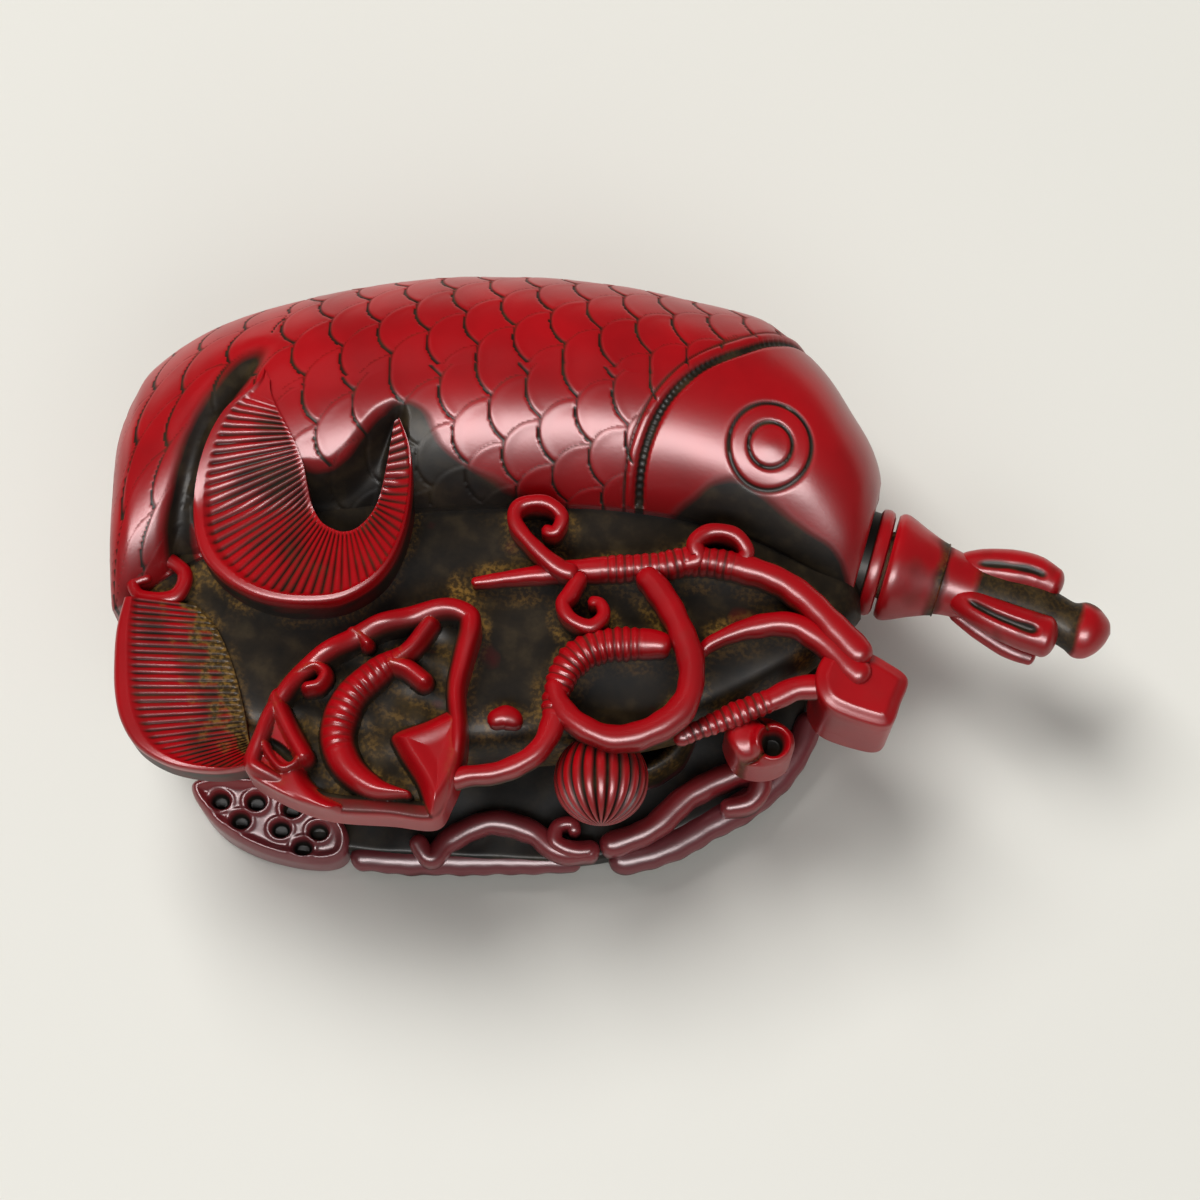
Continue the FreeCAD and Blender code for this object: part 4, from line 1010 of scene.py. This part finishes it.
def petal(name, route, widths, depth, groove):
    """A petal that follows a line beside the bud, with a groove cut along its front."""
    piece, u, v = grid(name, 180, 80)
    line = through(route, 181)
    row = np.rint(u * 180).astype(int)
    ahead = np.gradient(line, axis=0)
    ahead /= np.linalg.norm(ahead, axis=1)[:, None]
    radius = np.interp(u, np.linspace(0, 1, len(widths)), widths) / 2
    length = np.linalg.norm(np.diff(line, axis=0), axis=1).sum()
    s = u * length
    reach = np.clip(np.minimum(s / radius, (length - s) / (0.6 * radius)), 0, 1)
    nose = np.sqrt(np.clip(1 - (1 - reach) ** 2, 0, 1))
    turn = v * 2 * math.pi
    c, h = np.cos(turn), np.sin(turn)
    mark = np.exp(-((c + 0.12) / 0.2) ** 2) * (h > 0) * smooth(0.15, 0.3, u) * smooth(0.86, 0.76, u)
    spots = np.stack([line[row, 0] - ahead[row, 1] * radius * c * nose,
                      line[row, 1] + ahead[row, 0] * radius * c * nose,
                      line[row, 2] + (depth * radius * h - groove * mark * radius) * nose], 1)
    place(piece, spots, np.maximum(mark * (groove > 0), 0.1) + 0.1 * ripple(spots, 2.4, 32),
          0.5 * smooth(0.35, -0.1, h) * (1 - smooth(0.0, 0.2, u)))
    close(piece)
    return piece


COLLAR = ((0.3, 0.0), (0.3, 4.3), (0.4, 4.75), (0.7, 5.0), (1.2, 5.0), (2.0, 4.7), (3.0, 4.25), (4.0, 3.85),
          (4.8, 3.55), (5.3, 3.4), (5.5, 3.2), (5.5, 0.0))


def collar():
    """The stopper's collar: a turned bell, dull with stain where it meets the bud."""
    piece, u, v = grid("turned_collar", 110, 96)
    line = through(COLLAR, 111)
    row = np.rint(u * 110).astype(int)
    turn = v * 2 * math.pi
    x, radius = line[row, 0], np.maximum(line[row, 1], 0)
    spots = np.stack([x, radius * np.cos(turn), radius * np.sin(turn)], 1)
    stain = 0.1 + 0.5 * smooth(4.0, 5.3, x) + 0.12 * ripple(spots, 3.0, 33)
    place(piece, spots, stain, 0.3 * smooth(4.4, 5.3, x))
    close(piece, weld=0.001)
    return piece


finial_pieces = [
    bud(),
    petal("petal_lower", ((6.2, -1.0, 0.9), (8.2, -1.9, 1.5), (10.6, -2.6, 1.8), (13.4, -3.0, 1.8),
                          (16.9, -3.1, 1.4)), (2.2, 3.0, 3.5, 3.8, 3.9), 1.0, 0.34),
    petal("petal_under", ((7.0, -2.2, -0.9), (10.0, -3.3, -1.0), (13.2, -4.3, -1.0), (15.6, -4.6, -0.8)),
          (1.4, 1.9, 2.0, 1.6), 0.9, 0.0),
    petal("petal_upper", ((6.2, 1.2, 0.6), (8.6, 1.9, 1.1), (11.0, 2.3, 1.3), (13.4, 2.5, 1.2), (16.3, 2.0, 0.8)),
          (2.6, 3.3, 3.7, 3.6, 2.8), 1.0, 0.16),
]
collar_piece = settle(collar(), RESIN, NECK, "stopper")
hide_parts("stopper_collar")
for piece in finial_pieces:
    settle(piece, RESIN, NECK, "stopper")
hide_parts("stopper_finial")

# %% [markdown]
# The cork and the spoon stay as they are in the frame, with a finish of their own.

# %% Cork and spoon


def speckled(name, light, dark, scale, roughness):
    """A dull natural material with darker specks: cork's pores, or the flecks in bone."""
    material, tree, shader = new_material(name)
    coords = add(tree, "ShaderNodeTexCoord").outputs["Object"]
    specks = add(tree, "ShaderNodeTexNoise", {"Vector": coords}, in_Scale=scale, in_Detail=6.0)
    tint = ramp(tree, specks.outputs["Fac"], ((0.36, colour(dark)), (0.5, colour(light))))
    tree.links.new(tint, shader.inputs["Base Color"])
    bump = add(tree, "ShaderNodeBump", {"Height": specks.outputs["Fac"]}, in_Strength=0.3, in_Distance=0.0001)
    tree.links.new(bump.outputs["Normal"], shader.inputs["Normal"])
    shader.inputs["Roughness"].default_value = roughness
    return material


for node, material in (("stopper_cork", speckled("natural_cork", "#B98A58", "#6E4526", 1400.0, 0.85)),
                       ("spoon", speckled("scraped_bone", "#E2D6B8", "#BCA878", 900.0, 0.5))):
    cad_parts[node].data.materials.clear()
    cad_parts[node].data.materials.append(material)

# %% [markdown]
# The bottle lies on a plain pale floor. A wide window on the viewer's side is seen in reflections
# only, and draws the long highlight down the flank. A lamp from the upper left gives the soft shadow
# at lower right, and the room fills in from the front.

# %% Floor, light and camera
bpy.ops.object.select_all(action="DESELECT")
bpy.ops.mesh.primitive_plane_add(size=3.0, location=(0, 0, -0.00002))
floor = bpy.context.object
floor.name = "floor"
floor_material, floor_tree, floor_shader = new_material("pale_floor")
floor_shader.inputs["Base Color"].default_value = colour("#DCDAD2")
floor_shader.inputs["Roughness"].default_value = 0.7
floor.data.materials.append(floor_material)

world = bpy.data.worlds.new("soft_room")
bpy.context.scene.world = world
world.use_nodes = True
world.node_tree.nodes["Background"].inputs["Color"].default_value = (1.0, 0.99, 0.97, 1.0)
world.node_tree.nodes["Background"].inputs["Strength"].default_value = 0.14

VIEW_TURN = Matrix.Rotation(LEAN, 4, "Z")
TARGET = PLAN @ Vector((-1.3, -3.6, 14.0))


def soft_light(name, bearing, elevation, distance, width, height, power, gloss=True, matt=True):
    """An area light that looks at the bottle; the bearing is turned with the plan."""
    b, e = math.radians(bearing), math.radians(elevation)
    away = VIEW_TURN @ Vector((math.cos(e) * math.sin(b), -math.cos(e) * math.cos(b), math.sin(e)))
    data = bpy.data.lights.new(name, "AREA")
    data.shape = "RECTANGLE"
    data.size = width
    data.size_y = height
    data.energy = power
    lamp = bpy.data.objects.new(name, data)
    bpy.context.scene.collection.objects.link(lamp)
    lamp.location = TARGET + away * distance
    lamp.rotation_euler = (-away).to_track_quat("-Z", "Y").to_euler()
    lamp.visible_glossy = gloss
    lamp.visible_diffuse = matt


soft_light("window", -8, 54, 0.6, 0.6, 0.2, 9.5, matt=False)
soft_light("lamp", 215, 56, 1.3, 0.75, 0.75, 19.0, gloss=False)
soft_light("room", 20, 40, 0.8, 0.7, 0.7, 1.8, gloss=False)

CAMERA_ELEVATION = math.radians(74)
CAMERA_DISTANCE = 0.260
FRAME_PIXELS = 1200
FOCAL_PIXELS = 2834
camera_data = bpy.data.cameras.new("camera")
camera = bpy.data.objects.new("camera", camera_data)
bpy.context.scene.collection.objects.link(camera)
away = VIEW_TURN @ Vector((0, -math.cos(CAMERA_ELEVATION), math.sin(CAMERA_ELEVATION)))
camera.location = TARGET + away * CAMERA_DISTANCE
camera.rotation_euler = (-away).to_track_quat("-Z", "Y").to_euler()
camera_data.angle = 2 * math.atan(FRAME_PIXELS / 2 / FOCAL_PIXELS)
camera_data.clip_start = 0.01
bpy.context.scene.camera = camera
bpy.context.scene.view_settings.view_transform = "Standard"
